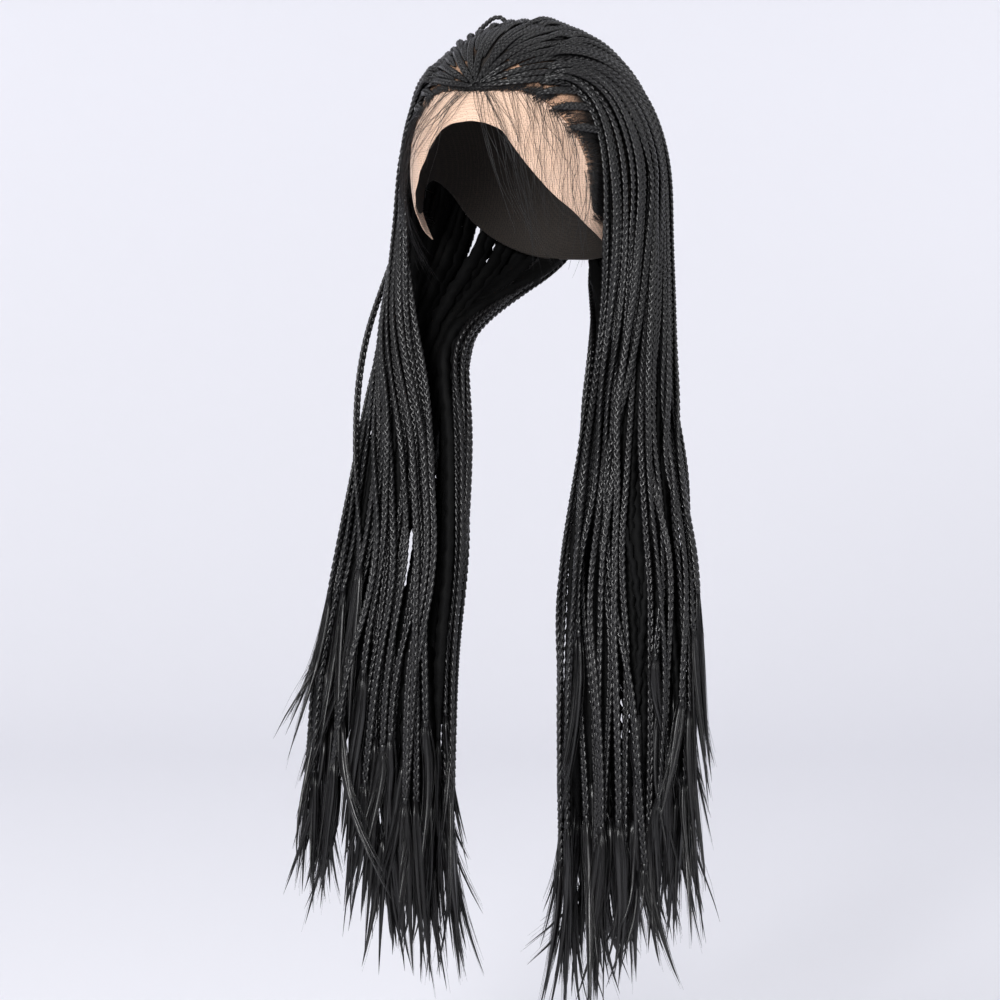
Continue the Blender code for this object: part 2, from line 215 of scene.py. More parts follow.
def add_cells(
    material: bpy.types.Material,
    place: bpy.types.NodeSocket,
    size_mm: float,
    uneven: float,
    feature: str = "DISTANCE_TO_EDGE",
) -> bpy.types.NodeSocket:
    """Add a pattern of cells.

    Args:
        material: the material.
        place: the coordinates that it fills.
        size_mm: the size of a cell.
        uneven: 0 for even cells, 1 for cells placed by chance.
        feature: what the distance is taken to.

    Returns:
        The distance, in cells.
    """
    settings = {".feature": feature, "Scale": 1 / (size_mm * MM), "Randomness": uneven}
    return add_node(material, "ShaderNodeTexVoronoi", settings, {"Vector": place}).outputs["Distance"]


def add_range(
    material: bpy.types.Material,
    value: bpy.types.NodeSocket,
    source: tuple[float, float],
    target: tuple[float, float],
    curve: str = "SMOOTHSTEP",
) -> bpy.types.NodeSocket:
    """Map a value from the source range to the target range."""
    names = ("From Min", "From Max", "To Min", "To Max")
    settings = {".interpolation_type": curve} | dict(zip(names, (*source, *target)))
    return add_node(material, "ShaderNodeMapRange", settings, {"Value": value}).outputs[0]


def add_ramp(
    material: bpy.types.Material,
    value: bpy.types.NodeSocket,
    places: tuple[float, float],
    colours: tuple[str, str],
) -> bpy.types.NodeSocket:
    """Colour a value by a ramp between two sRGB hex colours, each at its place."""
    node = add_node(material, "ShaderNodeValToRGB", links={"Fac": value})
    for stop, place, colour in zip(node.color_ramp.elements, places, colours):
        stop.position = place
        stop.color = linear(colour)
    return node.outputs["Color"]


def add_bump(
    material: bpy.types.Material, height: bpy.types.NodeSocket, strength: float, high_mm: float
) -> bpy.types.NodeSocket:
    """Add the relief of a height."""
    settings = {"Strength": strength, "Distance": high_mm * MM}
    return add_node(material, "ShaderNodeBump", settings, {"Height": height}).outputs[0]


@dataclass(frozen=True)
class BraidingFibre:
    """Modacrylic braiding fibre, drawn in crimped filaments: near black with a soft grey gloss."""

    name: str = "modacrylic braiding fibre"
    dark: str = "#050506"
    light: str = "#1b1a1b"
    # Where the dark and the light tone lie in the noise of the filaments.
    tones_at: tuple[float, float] = (0.18, 0.85)
    roughness: float = 0.32
    specular: float = 0.42
    # Real filaments are 0.06 mm; they are drawn almost six times as coarse so that they show.
    filament_mm: float = 0.34
    filament_run_mm: float = 9.0
    filament_roughness: float = 0.6
    bump_strength: float = 0.6
    bump_mm: float = 0.12

    def material(self) -> bpy.types.Material:
        """The finish; it follows each strand by its UV map, which is in millimetres."""
        made = new_material(self.name)
        uv = add_node(made, "ShaderNodeUVMap", {".uv_map": "strand"})
        scale = (1 / self.filament_mm, 1 / self.filament_run_mm, 1.0)
        lie = add_node(made, "ShaderNodeMapping", {"Scale": scale}, {"Vector": uv.outputs["UV"]})
        filaments = add_noise(made, lie.outputs[0], 1.0, self.filament_roughness)
        tone = add_node(made, "ShaderNodeAttribute", {".attribute_name": "tone"})
        mixed = add_node(
            made, "ShaderNodeMath", {".operation": "MULTIPLY"}, {0: filaments, 1: tone.outputs["Fac"]}
        )
        colour = add_ramp(made, mixed.outputs[0], self.tones_at, (self.dark, self.light))
        bump = add_bump(made, filaments, self.bump_strength, self.bump_mm)
        settings = {"Roughness": self.roughness, "Specular IOR Level": self.specular}
        return finish_material(made, settings, {"Base Color": colour, "Normal": bump})


@dataclass(frozen=True)
class SheerLace:
    """Swiss lace, a knitted hexagon net in a skin tone: threads that the light passes between."""

    name: str = "sheer lace"
    thread: str = "#efd0b9"
    shade: str = "#e0bca2"
    # Real cells are 0.5 mm; they are drawn more than twice as coarse so that they show.
    cell_mm: float = 1.25
    uneven: float = 0.35
    # How far from a cell's edge its thread is full, and how far out it ends, in cells.
    thread_ends: tuple[float, float] = (0.08, 0.256)
    open_alpha: float = 0.34
    thread_alpha: float = 0.84
    mottle_a_m: float = 90.0
    bump_strength: float = 0.4
    bump_mm: float = 0.1
    sheen: float = 0.2
    roughness: float = 0.7

    def material(self) -> bpy.types.Material:
        """The finish."""
        made = new_material(self.name)
        place = add_node(made, "ShaderNodeTexCoord").outputs["Object"]
        cells = add_cells(made, place, self.cell_mm, self.uneven)
        thread = add_range(made, cells, self.thread_ends, (self.thread_alpha, self.open_alpha))
        mottle = add_noise(made, place, self.mottle_a_m)
        colour = add_ramp(made, mottle, (0.0, 1.0), (self.shade, self.thread))
        bump = add_bump(made, thread, self.bump_strength, self.bump_mm)
        settings = {"Roughness": self.roughness, "Sheen Weight": self.sheen}
        return finish_material(made, settings, {"Base Color": colour, "Alpha": thread, "Normal": bump})


@dataclass(frozen=True)
class CapNet:
    """Stretch net of the cap: skin-toned lace at the front under the rows, dark brown net behind, which
    comes forward far enough to paint shade at the temples behind the front braids.
    """

    name: str = "cap net"
    front: str = "#c9a286"
    front_shade: str = "#9a755d"
    front_places: tuple[float, float] = (0.02, 0.22)
    back: str = "#2a231e"
    back_shade: str = "#100d0b"
    back_places: tuple[float, float] = (0.05, 0.20)
    cell_mm: float = 1.5
    cell_uneven: float = 0.4
    # Small dark knots, where hair is tied into the lace, and how far from its middle one fades.
    knot: str = "#15110f"
    knot_mm: float = 2.1
    knot_uneven: float = 0.8
    knot_ends: tuple[float, float] = (0.16, 0.34)
    # Where the net turns dark, from the face backwards: the dark brown of the back, set far enough
    # forward that it also paints the shade at the temples behind the front braids.
    dark_y_m: tuple[float, float] = (-0.056, -0.042)
    # Half the width of the dark strip in the middle, where all rows start, and where it ends.
    middle_m: tuple[float, float] = (0.012, 0.022)
    bump_strength: float = 0.7
    bump_mm: float = 0.3
    roughness: float = 0.85

    def material(self) -> bpy.types.Material:
        """The finish."""
        made = new_material(self.name)
        place = add_node(made, "ShaderNodeTexCoord").outputs["Object"]
        apart = add_node(made, "ShaderNodeSeparateXYZ", links={"Vector": place})
        # The dark mask is partly the back's real brown net and partly painted shade at the temples.
        behind = add_range(made, apart.outputs["Y"], self.dark_y_m, (0.0, 1.0))
        aside = add_node(made, "ShaderNodeMath", {".operation": "ABSOLUTE"}, {0: apart.outputs["X"]})
        central = add_range(made, aside.outputs[0], self.middle_m, (1.0, 0.0))
        dark = add_node(made, "ShaderNodeMath", {".operation": "MAXIMUM"}, {0: behind, 1: central})
        cells = add_cells(made, place, self.cell_mm, self.cell_uneven)
        knots = add_cells(made, place, self.knot_mm, self.knot_uneven, "F1")
        knot = add_range(made, knots, self.knot_ends, (1.0, 0.0), "LINEAR")
        skin = add_ramp(made, cells, self.front_places, (self.front_shade, self.front))
        brown = add_ramp(made, cells, self.back_places, (self.back, self.back_shade))
        # The mix of colours has its share in socket 0, its colours in 6 and 7, its result in 2.
        tied = add_node(
            made, "ShaderNodeMix", {".data_type": "RGBA", 7: linear(self.knot)}, {0: knot, 6: skin}
        ).outputs[2]
        colour = add_node(
            made, "ShaderNodeMix", {".data_type": "RGBA"}, {0: dark.outputs[0], 6: tied, 7: brown}
        ).outputs[2]
        bump = add_bump(made, cells, self.bump_strength, self.bump_mm)
        return finish_material(
            made, {"Roughness": self.roughness}, {"Base Color": colour, "Normal": bump}
        )


@dataclass(frozen=True)
class StudioPaper:
    """Seamless paper of the studio: matt and almost white."""

    name: str = "studio paper"
    colour: str = "#e8e8ee"
    roughness: float = 0.9

    def material(self) -> bpy.types.Material:
        """The finish."""
        settings = {"Base Color": linear(self.colour), "Roughness": self.roughness}
        return finish_material(new_material(self.name), settings)


# Meshes from arrays


def link_object(name: str, data: bpy.types.ID) -> bpy.types.Object:
    """A new object in the scene, with its data."""
    made = bpy.data.objects.new(name, data)
    bpy.context.scene.collection.objects.link(made)
    return made


class StrandMesh:
    """Many closed tubes joined in one mesh, with a UV map in millimetres and a tone for each."""

    # How far apart tubes lie in the map, so that no two show the same filaments: for each tube of
    # a call, for each point before it, and how much of that goes across.
    TUBE_APART_MM = 13.7
    POINT_APART_MM = 0.011
    APART_ACROSS = 0.37

    def __init__(self) -> None:
        """Start with nothing."""
        self.points: list[np.ndarray] = []
        self.quads: list[np.ndarray] = []
        self.ends: list[np.ndarray] = []
        self.quad_uv: list[np.ndarray] = []
        self.end_uv: list[np.ndarray] = []
        self.tones: list[np.ndarray] = []
        self.count = 0

    @property
    def triangles(self) -> int:
        """How many triangles it has."""
        return sum(2 * len(q) for q in self.quads) + sum(len(e) * (e.shape[1] - 2) for e in self.ends)

    def add(
        self,
        centres: np.ndarray,
        normals: np.ndarray,
        wide: np.ndarray,
        thick: np.ndarray,
        sides: int,
        tone: np.ndarray,
    ) -> None:
        """Add tubes.

        Args:
            centres: (tubes, rows, 3), the middle of each ring.
            normals: (tubes, rows, 3), about where the thin side of each ring points.
            wide: (tubes, rows), half the ring's width.
            thick: (tubes, rows), half its thickness.
            sides: corners of each ring.
            tone: (tubes,), how light the fibre is, about 1.
        """
        tubes, rows = centres.shape[:2]
        ahead = unit(np.gradient(centres, axis=1))
        up = unit(normals - (normals * ahead).sum(-1, keepdims=True) * ahead)
        across = np.cross(up, ahead)
        turn = 2 * math.pi * (np.arange(sides) + 0.5) / sides
        ring = (
            centres[:, :, None]
            + across[:, :, None] * (wide[..., None] * np.cos(turn))[..., None]
            + up[:, :, None] * (thick[..., None] * np.sin(turn))[..., None]
        )
        index = self.count + np.arange(tubes * rows * sides).reshape(tubes, rows, sides)
        after = np.roll(index, -1, axis=2)
        quads = np.stack([index[:, :-1], after[:, :-1], after[:, 1:], index[:, 1:]], axis=-1)
        step = np.linalg.norm(np.diff(centres, axis=1), axis=-1)
        run = np.concatenate([np.zeros((tubes, 1)), np.cumsum(step, axis=1)], axis=1) / MM
        offset = np.arange(tubes)[:, None] * self.TUBE_APART_MM + self.count * self.POINT_APART_MM
        round_mm = 2 * math.pi * float(np.mean(wide)) / MM
        u0 = (np.arange(sides) / sides * round_mm)[None, None]
        u1 = u0 + round_mm / sides
        v = run + offset
        aside = offset[..., None] * self.APART_ACROSS
        low, high, left, right = (
            np.broadcast_to(edge, (tubes, rows - 1, sides))
            for edge in (v[:, :-1, None], v[:, 1:, None], u0 + aside, u1 + aside)
        )
        square = ((left, low), (right, low), (right, high), (left, high))
        uv = np.stack([np.stack(corner, -1) for corner in square], axis=-2)
        self.points.append(ring.reshape(-1, 3))
        self.quads.append(quads.reshape(-1, 4))
        self.quad_uv.append(uv.reshape(-1, 2))
        for end, order in ((0, slice(None, None, -1)), (rows - 1, slice(None))):
            corners = index[:, end][:, order]
            self.ends.append(corners)
            flat = np.zeros((tubes, sides, 2))
            flat[..., 1] = v[:, end, None]
            self.end_uv.append(flat.reshape(-1, 2))
        self.tones.append(np.repeat(tone, rows * sides))
        self.count += tubes * rows * sides

    def to_object(self, name: str, material: bpy.types.Material, slot: str) -> bpy.types.Object:
        """Make the mesh object.

        Args:
            name: its name.
            material: its finish.
            slot: the name of a material slot; not used.

        Returns:
            The object, riding on the wig.
        """
        by_size: dict[int, list[tuple[np.ndarray, np.ndarray]]] = {}
        by_size[4] = list(zip(self.quads, self.quad_uv))
        for corners, uv in zip(self.ends, self.end_uv):
            by_size.setdefault(corners.shape[1], []).append((corners, uv))
        loops, uvs, sizes = [], [], []
        for size, parts in by_size.items():
            for corners, uv in parts:
                loops.append(corners.reshape(-1))
                uvs.append(uv)
                sizes.append(np.full(len(corners), size))
        loop, uv, size = np.concatenate(loops), np.concatenate(uvs), np.concatenate(sizes)
        mesh = bpy.data.meshes.new(name)
        mesh.vertices.add(self.count)
        mesh.vertices.foreach_set("co", np.concatenate(self.points).astype(np.float32).reshape(-1))
        mesh.loops.add(len(loop))
        mesh.loops.foreach_set("vertex_index", loop.astype(np.int32))
        mesh.polygons.add(len(size))
        starts = np.concatenate([[0], np.cumsum(size)[:-1]])
        mesh.polygons.foreach_set("loop_start", starts.astype(np.int32))
        mesh.polygons.foreach_set("use_smooth", np.ones(len(size), dtype=bool))
        layer = mesh.uv_layers.new(name="strand")
        layer.data.foreach_set("uv", uv.astype(np.float32).reshape(-1))
        tone = mesh.attributes.new("tone", "FLOAT", "POINT")
        tone.data.foreach_set("value", np.concatenate(self.tones).astype(np.float32))
        mesh.update(calc_edges=True)
        mesh.validate()
        made = link_object(name, mesh)
        mesh.materials.append(material)
        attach(made, BODY)
        log.info("%s: %d triangles", name, self.triangles)
        return made


def shell_object(
    name: str, grid: np.ndarray, closed: bool, wall: float, material: bpy.types.Material
) -> bpy.types.Object:
    """A thin wall from a grid of points on its outer side.

    Args:
        name: the object's name.
        grid: (columns, rows, 3).
        closed: whether the last column meets the first.
        wall: its thickness, towards the head.
        material: its finish.

    Returns:
        The object, with its wall applied.
    """
    columns, rows = grid.shape[:2]
    index = np.arange(columns * rows).reshape(columns, rows)
    after = np.roll(index, -1, axis=0) if closed else index[1:]
    before = index if closed else index[:-1]
    faces = np.stack([before[:, :-1], before[:, 1:], after[:, 1:], after[:, :-1]], -1).reshape(-1, 4)
    mesh = bpy.data.meshes.new(name)
    mesh.from_pydata(grid.reshape(-1, 3).tolist(), [], faces.tolist())
    made = link_object(name, mesh)
    bpy.ops.object.select_all(action="DESELECT")
    bpy.context.view_layer.objects.active = made
    made.select_set(True)
    bpy.ops.object.mode_set(mode="EDIT")
    bpy.ops.mesh.select_all(action="SELECT")
    bpy.ops.mesh.remove_doubles(threshold=WELD_M)
    bpy.ops.mesh.normals_make_consistent(inside=False)
    bpy.ops.object.mode_set(mode="OBJECT")
    face = mesh.polygons[0]
    if np.dot(np.array(face.normal), np.array(face.center) - HeadForm().middle) < 0:
        mesh.flip_normals()
    solid = made.modifiers.new("wall", "SOLIDIFY")
    solid.thickness = wall
    solid.offset = -1.0
    bpy.ops.object.modifier_apply(modifier=solid.name)
    bpy.ops.object.shade_smooth_by_angle(angle=math.radians(SMOOTH_UNDER_DEG))
    mesh.materials.append(material)
    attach(made, BODY)
    log.info("%s: %d faces", name, len(made.data.polygons))
    return made


# The head's form and the hair's flow


@dataclass(frozen=True)
class HeadForm:
    """The head that the cap is cut for, an ellipsoid with its crown at the origin."""

    half_breadth: float = 0.079
    half_length: float = 0.100
    half_height: float = 0.100
    cap_wall: float = 0.0015

    @property
    def half(self) -> np.ndarray:
        """Its half axes."""
        return np.array([self.half_breadth, self.half_length, self.half_height])

    @property
    def middle(self) -> np.ndarray:
        """Its middle, straight below the crown."""
        return np.array([0.0, 0.0, -self.half_height])

    def over(self, towards: np.ndarray, lift: Value) -> np.ndarray:
        """Points over the scalp in some directions, at a height above the skin."""
        return (self.half + np.asarray(lift)[..., None]) * unit(towards) + self.middle

    def push_out(self, points: np.ndarray, lift: float) -> np.ndarray:
        """Points moved straight out from the head's middle until they clear the scalp by lift."""
        from_middle = points - self.middle
        inside = np.linalg.norm(from_middle / (self.half + lift), axis=-1, keepdims=True)
        pushed = from_middle / np.maximum(inside, 0.05)
        return np.where(inside < 1.0, pushed, from_middle) + self.middle


@dataclass(frozen=True)
class EdgeLines:
    """The hairline, the lace's free edge and the cap's lower edge, as bearings and heights."""

    # Rows: bearing and height of the cap's edge, bearing and height of the lace's free edge.
    front: tuple = (
        (0.0, 32.5, 0.0, 19.5),
        (14.0, 32.8, 10.0, 18.5),
        (26.0, 32.6, 18.5, 15.5),
        (36.0, 30.5, 24.5, 8.5),
        (44.0, 25.5, 30.0, 2.5),
        (51.5, 18.5, 35.5, -3.0),
        (57.0, 11.0, 41.0, -8.0),
        (61.0, 2.0, 47.0, -12.5),
        (63.0, -8.0, 54.0, -16.5),
        (66.5, -17.5, 62.5, -22.5),
        (76.0, -17.0, 77.5, -30.0),
    )
    # Rows: bearing and height of the cap's edge from the ear to the nape.
    back: tuple = (
        (83.5, -8.0),
        (94.0, -4.5),
        (106.0, -10.0),
        (117.0, -22.0),
        (134.0, -33.0),
        (157.0, -40.0),
        (180.0, -41.0),
    )

    def _line(self, share: Value, column: int) -> tuple[np.ndarray, np.ndarray]:
        """Bearing and height down the front's table, from the brow's middle to the ear tab."""
        table = np.array(self.front)
        at = np.asarray(share) * (len(table) - 1)
        knots = np.arange(len(table))
        return np.interp(at, knots, table[:, column]), np.interp(at, knots, table[:, column + 1])

    def hairline(self, share: Value) -> tuple[np.ndarray, np.ndarray]:
        """Bearing and height of the hairline, from the brow's middle (0) to the ear tab (1)."""
        return self._line(share, 0)

    def free_edge(self, share: Value) -> tuple[np.ndarray, np.ndarray]:
        """Bearing and height of the lace's free edge, over the same shares."""
        return self._line(share, 2)

    def cap_loop(self, steps_a_span: int) -> np.ndarray:
        """Directions once round the cap's edge, as a smooth loop."""
        half = [row[:2] for row in self.front] + list(self.back)
        loop = half + [(360.0 - b, h) for b, h in reversed(half[1:-1])]
        corners = bearing_direction(*np.array(loop).T)
        padded = np.concatenate([corners[-2:], corners, corners[:3]])
        at = 2 + np.arange(len(corners) * steps_a_span) / steps_a_span
        return unit(curve_sample(padded, at))


@dataclass(frozen=True)
class HairFlow:
    """Where hair lies on the dome: a fan from the brow that turns down at the widest ring."""

    point: tuple[float, float] = (0.0, 34.0)
    turn_deg: tuple[float, float] = (88.0, 3.0)
    pull: float = 0.75
    ring_bearing_deg: tuple[float, float] = (65.5, 179.0)
    lead_height_deg: float = 52.0

    def ring_bearing(self, side: Side, share: Value) -> np.ndarray:
        """The bearing at which hair of a share crosses the widest ring."""
        return side.value * lerp(*self.ring_bearing_deg, np.asarray(share))

    def towards(self, side: Side, share: Value, along: Value) -> np.ndarray:
        """Directions of the hair.

        Args:
            side: the wearer's side.
            share: 0 at the temple to 1 at the middle of the back.
            along: 0 at the fan's point to 1 at the widest ring.

        Returns:
            Unit vectors.
        """
        share, along = np.broadcast_arrays(np.asarray(share, float), np.asarray(along, float))
        start = bearing_direction(*self.point)
        height = math.radians(self.point[1])
        up = np.array([0.0, math.sin(height), math.cos(height)])
        turn = np.radians(lerp(*self.turn_deg, share))[..., None]
        outward = np.array([side.value, 0.0, 0.0])
        leaving = start + self.pull * (np.cos(turn) * up + np.sin(turn) * outward)
        bearing = self.ring_bearing(side, share)
        coming = bearing_direction(bearing, self.lead_height_deg)
        end = bearing_direction(bearing, 0.0)
        t, rest = along[..., None], 1 - along[..., None]
        first, last = 3 * rest**2 * t * leaving, 3 * rest * t**2 * coming
        return unit(rest**3 * start + first + last + t**3 * end)


@dataclass(frozen=True)
class FallForm:
    """A fall's outline: how thick hair lies on the cap, and the sections where it hangs free."""

    start_along: float = 0.43
    thickness_at_start: float = 0.0065
    thickness_at_ring: float = 0.0190
    thickens: float = 1.25
    thin_at_face: float = 0.42
    full_from_share: float = 0.17
    seat: float = 0.0014
    leaves_cap: tuple = (
        (0.00, -13.5),
        (0.08, -15.5),
        (0.16, -6.5),
        (0.25, -3.0),
        (0.36, -8.5),
        (0.46, -20.0),
        (0.62, -31.0),
        (0.80, -38.0),
        (1.00, -39.5),
    )
    outside_follows: tuple[float, float] = (0.15, 0.60)
    bundle_turn_deg: tuple[float, float] = (-142.0, 180.0)
    # How far the lowest section drops, outside and inside, and how much further lines are drawn.
    end_drop: tuple[float, float] = (-0.015, 0.045)
    drawn_below: float = 0.06
    least_across: float = 0.003
    least_deep: float = 0.002
    # Rows: z, centre x, centre y, half width across the chest, half depth, turn about Z.
    left: tuple = (
        (-0.215, 0.0785, 0.010, 0.0315, 0.040, 24.0),
        (-0.290, 0.0870, -0.018, 0.0375, 0.033, 12.0),
        (-0.370, 0.0960, -0.041, 0.0505, 0.028, 12.0),
        (-0.455, 0.1000, -0.050, 0.0535, 0.027, 12.0),
        (-0.560, 0.1020, -0.052, 0.0530, 0.027, 12.0),
    )
    right: tuple = (
        (-0.215, -0.0785, -0.0165, 0.0315, 0.040, -24.0),
        (-0.290, -0.0700, -0.040, 0.0440, 0.034, 0.0),
        (-0.370, -0.0655, -0.066, 0.0485, 0.028, 12.0),
        (-0.455, -0.0775, -0.075, 0.0555, 0.027, 12.0),
        (-0.560, -0.0830, -0.077, 0.0625, 0.027, 12.0),
    )
    tip_z_outer: tuple[float, float] = (-0.622, -0.602)
    tip_z_inner: tuple[float, float] = (-0.690, -0.682)

    def ring_thickness(self, share: Value) -> np.ndarray:
        """How thick the hair lies at the widest ring."""
        full = np.clip(np.asarray(share) / self.full_from_share, 0, 1)
        return self.thickness_at_ring * lerp(self.thin_at_face, 1.0, full)

    def dome_thickness(self, share: Value, along: Value) -> np.ndarray:
        """How thick the hair lies over the dome."""
        past = (np.asarray(along) - self.start_along) / (1 - self.start_along)
        full = np.clip(past, 0, 1) ** self.thickens
        return lerp(self.thickness_at_start, self.ring_thickness(share), full)

    def cap_edge_height(self, share: Value) -> np.ndarray:
        """The height, in degrees, at which hair of a share leaves the cap."""
        table = np.array(self.leaves_cap)
        return np.interp(share, table[:, 0], table[:, 1])

    def turn(self, share: Value) -> np.ndarray:
        """The angle of a share round a section: 0 outside, -90 in front."""
        return np.radians(lerp(*self.bundle_turn_deg, np.asarray(share)))

    def inward(self, share: Value) -> np.ndarray:
        """0 on the outer side of a fall, 1 on the side towards the neck."""
        return 0.5 - 0.5 * np.cos(self.turn(share))

    def sections(self, side: Side) -> np.ndarray:
        """The table of sections of a side."""
        return np.array(self.left if side is Side.LEFT else self.right)

    def tip_z(self, side: Side, share: Value) -> np.ndarray:
        """How low the loose ends of a share reach."""
        which = 0 if side is Side.LEFT else 1
        return lerp(self.tip_z_outer[which], self.tip_z_inner[which], self.inward(share))

    def section_points(self, side: Side, row: np.ndarray, share: Value, inset: Value) -> np.ndarray:
        """Points of a section, an inset in from its outline."""
        z, x, y, across, deep, body = row
        turn = self.turn(share)
        wide = side.value * np.maximum(across - inset, self.least_across) * np.cos(turn)
        front = np.maximum(deep - inset, self.least_deep) * np.sin(turn)
        body = math.radians(body)
        return np.stack(
            [
                x + wide * math.cos(body) - front * math.sin(body),
                y + wide * math.sin(body) + front * math.cos(body),
                np.broadcast_to(z, wide.shape),
            ],
            axis=-1,
        )


# Braids


@dataclass(frozen=True)
class BraidPattern:
    """A three-strand braid: how far its strands swing, how thick they are, and its stitch."""

    swing: float = 1.60 * MM
    dip: float = 0.95 * MM
    strand_wide: float = 1.32 * MM
    strand_thick: float = 1.10 * MM
    period: float = 15.6 * MM
    rows_a_period: int = 6

    def add(
        self,
        mesh: StrandMesh,
        path: np.ndarray,
        normals: np.ndarray,
        scale: np.ndarray,
        stretch: np.ndarray,
        twist: np.ndarray,
        sides: int,
        tone: float,
        phase: float,
    ) -> None:
        """Plait a braid along a path.

        Args:
            mesh: what it is added to.
            path: (points, 3).
            normals: (points, 3), about where its flat side faces.
            scale: (points,), its thickness against the pattern.
            stretch: (points,), its stitch against the pattern.
            twist: (points,), radians that it is turned about its own line.
            sides: corners of each strand's section.
            tone: how light its fibre is.
            phase: the plait's phase at the start, in rows.
        """
        step = np.linalg.norm(np.diff(path, axis=0), axis=-1)
        pace = self.rows_a_period / self.period / (0.5 * (stretch[1:] + stretch[:-1]))
        rows_at = phase + np.concatenate([[0.0], np.cumsum(step * pace)])
        whole = np.arange(math.ceil(rows_at[0]), math.floor(rows_at[-1]) + 1)
        at = np.interp(whole, rows_at, np.arange(len(path)))
        centre = curve_sample(path, at)
        size = np.interp(at, np.arange(len(path)), scale)[:, None]
        turned = np.interp(at, np.arange(len(path)), twist)[:, None]
        ahead = unit(np.gradient(centre, axis=0))
        facing = curve_sample(normals, at)
        facing = unit(facing - (facing * ahead).sum(-1, keepdims=True) * ahead)
        beside = np.cross(facing, ahead)
        facing, beside = (
            facing * np.cos(turned) + beside * np.sin(turned),
            beside * np.cos(turned) - facing * np.sin(turned),
        )
        # Rows fall on each strand's outermost points, so the plait keeps its full width.
        angle = 2 * math.pi * (whole / self.rows_a_period + 1 / 12)
        strands = angle[None] + 2 * math.pi * np.arange(3)[:, None] / 3
        x = self.swing * np.sin(strands)[..., None] * size
        y = -self.dip * np.sin(2 * strands)[..., None] * size
        lines = centre[None] + beside[None] * x + facing[None] * y
        full = np.broadcast_to(size[:, 0], strands.shape)
        mesh.add(
            lines,
            np.broadcast_to(facing, lines.shape),
            full * self.strand_wide,
            full * self.strand_thick,
            sides,
            np.full(3, tone),
        )


@dataclass(frozen=True)
class HiddenPlait:
    """A braid inside the fall, where only its outline shows: one tube that bulges at each stitch."""

    step: float = 2.6 * MM
    wide: tuple[float, float] = (2.95 * MM, 2.35 * MM)
    thick: tuple[float, float] = (2.2 * MM, 1.8 * MM)
    sway: float = 0.55 * MM
    # Over how many rows its end tapers, and how thin it gets at least.
    taper_rows: int = 9
    taper_least: float = 0.12
    sides: int = 4

    def add(
        self, mesh: StrandMesh, path: np.ndarray, normals: np.ndarray, size: np.ndarray, tone: float
    ) -> None:
        """Lay the braid along a path.

        Args:
            mesh: what it is added to.
            path: (points, 3).
            normals: (points, 3), about where its flat side faces.
            size: (points,), how thick it is against the pattern.
            tone: how light its fibre is.
        """
        gone = np.concatenate([[0.0], np.cumsum(np.linalg.norm(np.diff(path, axis=0), axis=-1))])
        rows = max(int(gone[-1] / self.step / size.max()), 3)
        at = np.interp(np.linspace(0, gone[-1], rows), gone, np.arange(len(path)))
        centre, facing = curve_sample(path, at), unit(curve_sample(normals, at))
        ahead = unit(np.gradient(centre, axis=0))
        beside = np.cross(facing, ahead)
        i = np.arange(rows)
        centre = centre + beside * (self.sway * np.where(i % 4 < 2, 1.0, -1.0))[:, None]
        taper = np.clip((rows - i) / self.taper_rows, self.taper_least, 1) ** 0.7
        full = np.interp(at, np.arange(len(path)), size) * taper
        wide = np.where(i % 2 == 0, *self.wide) * full
        thick = np.where(i % 2 == 0, *self.thick) * full
        mesh.add(centre[None], facing[None], wide[None], thick[None], self.sides, np.array([tone]))


class Layer(Enum):
    """Where a braid lies in the fall."""

    OUTER = 0
    UNDER = 1
    DEEP = 2


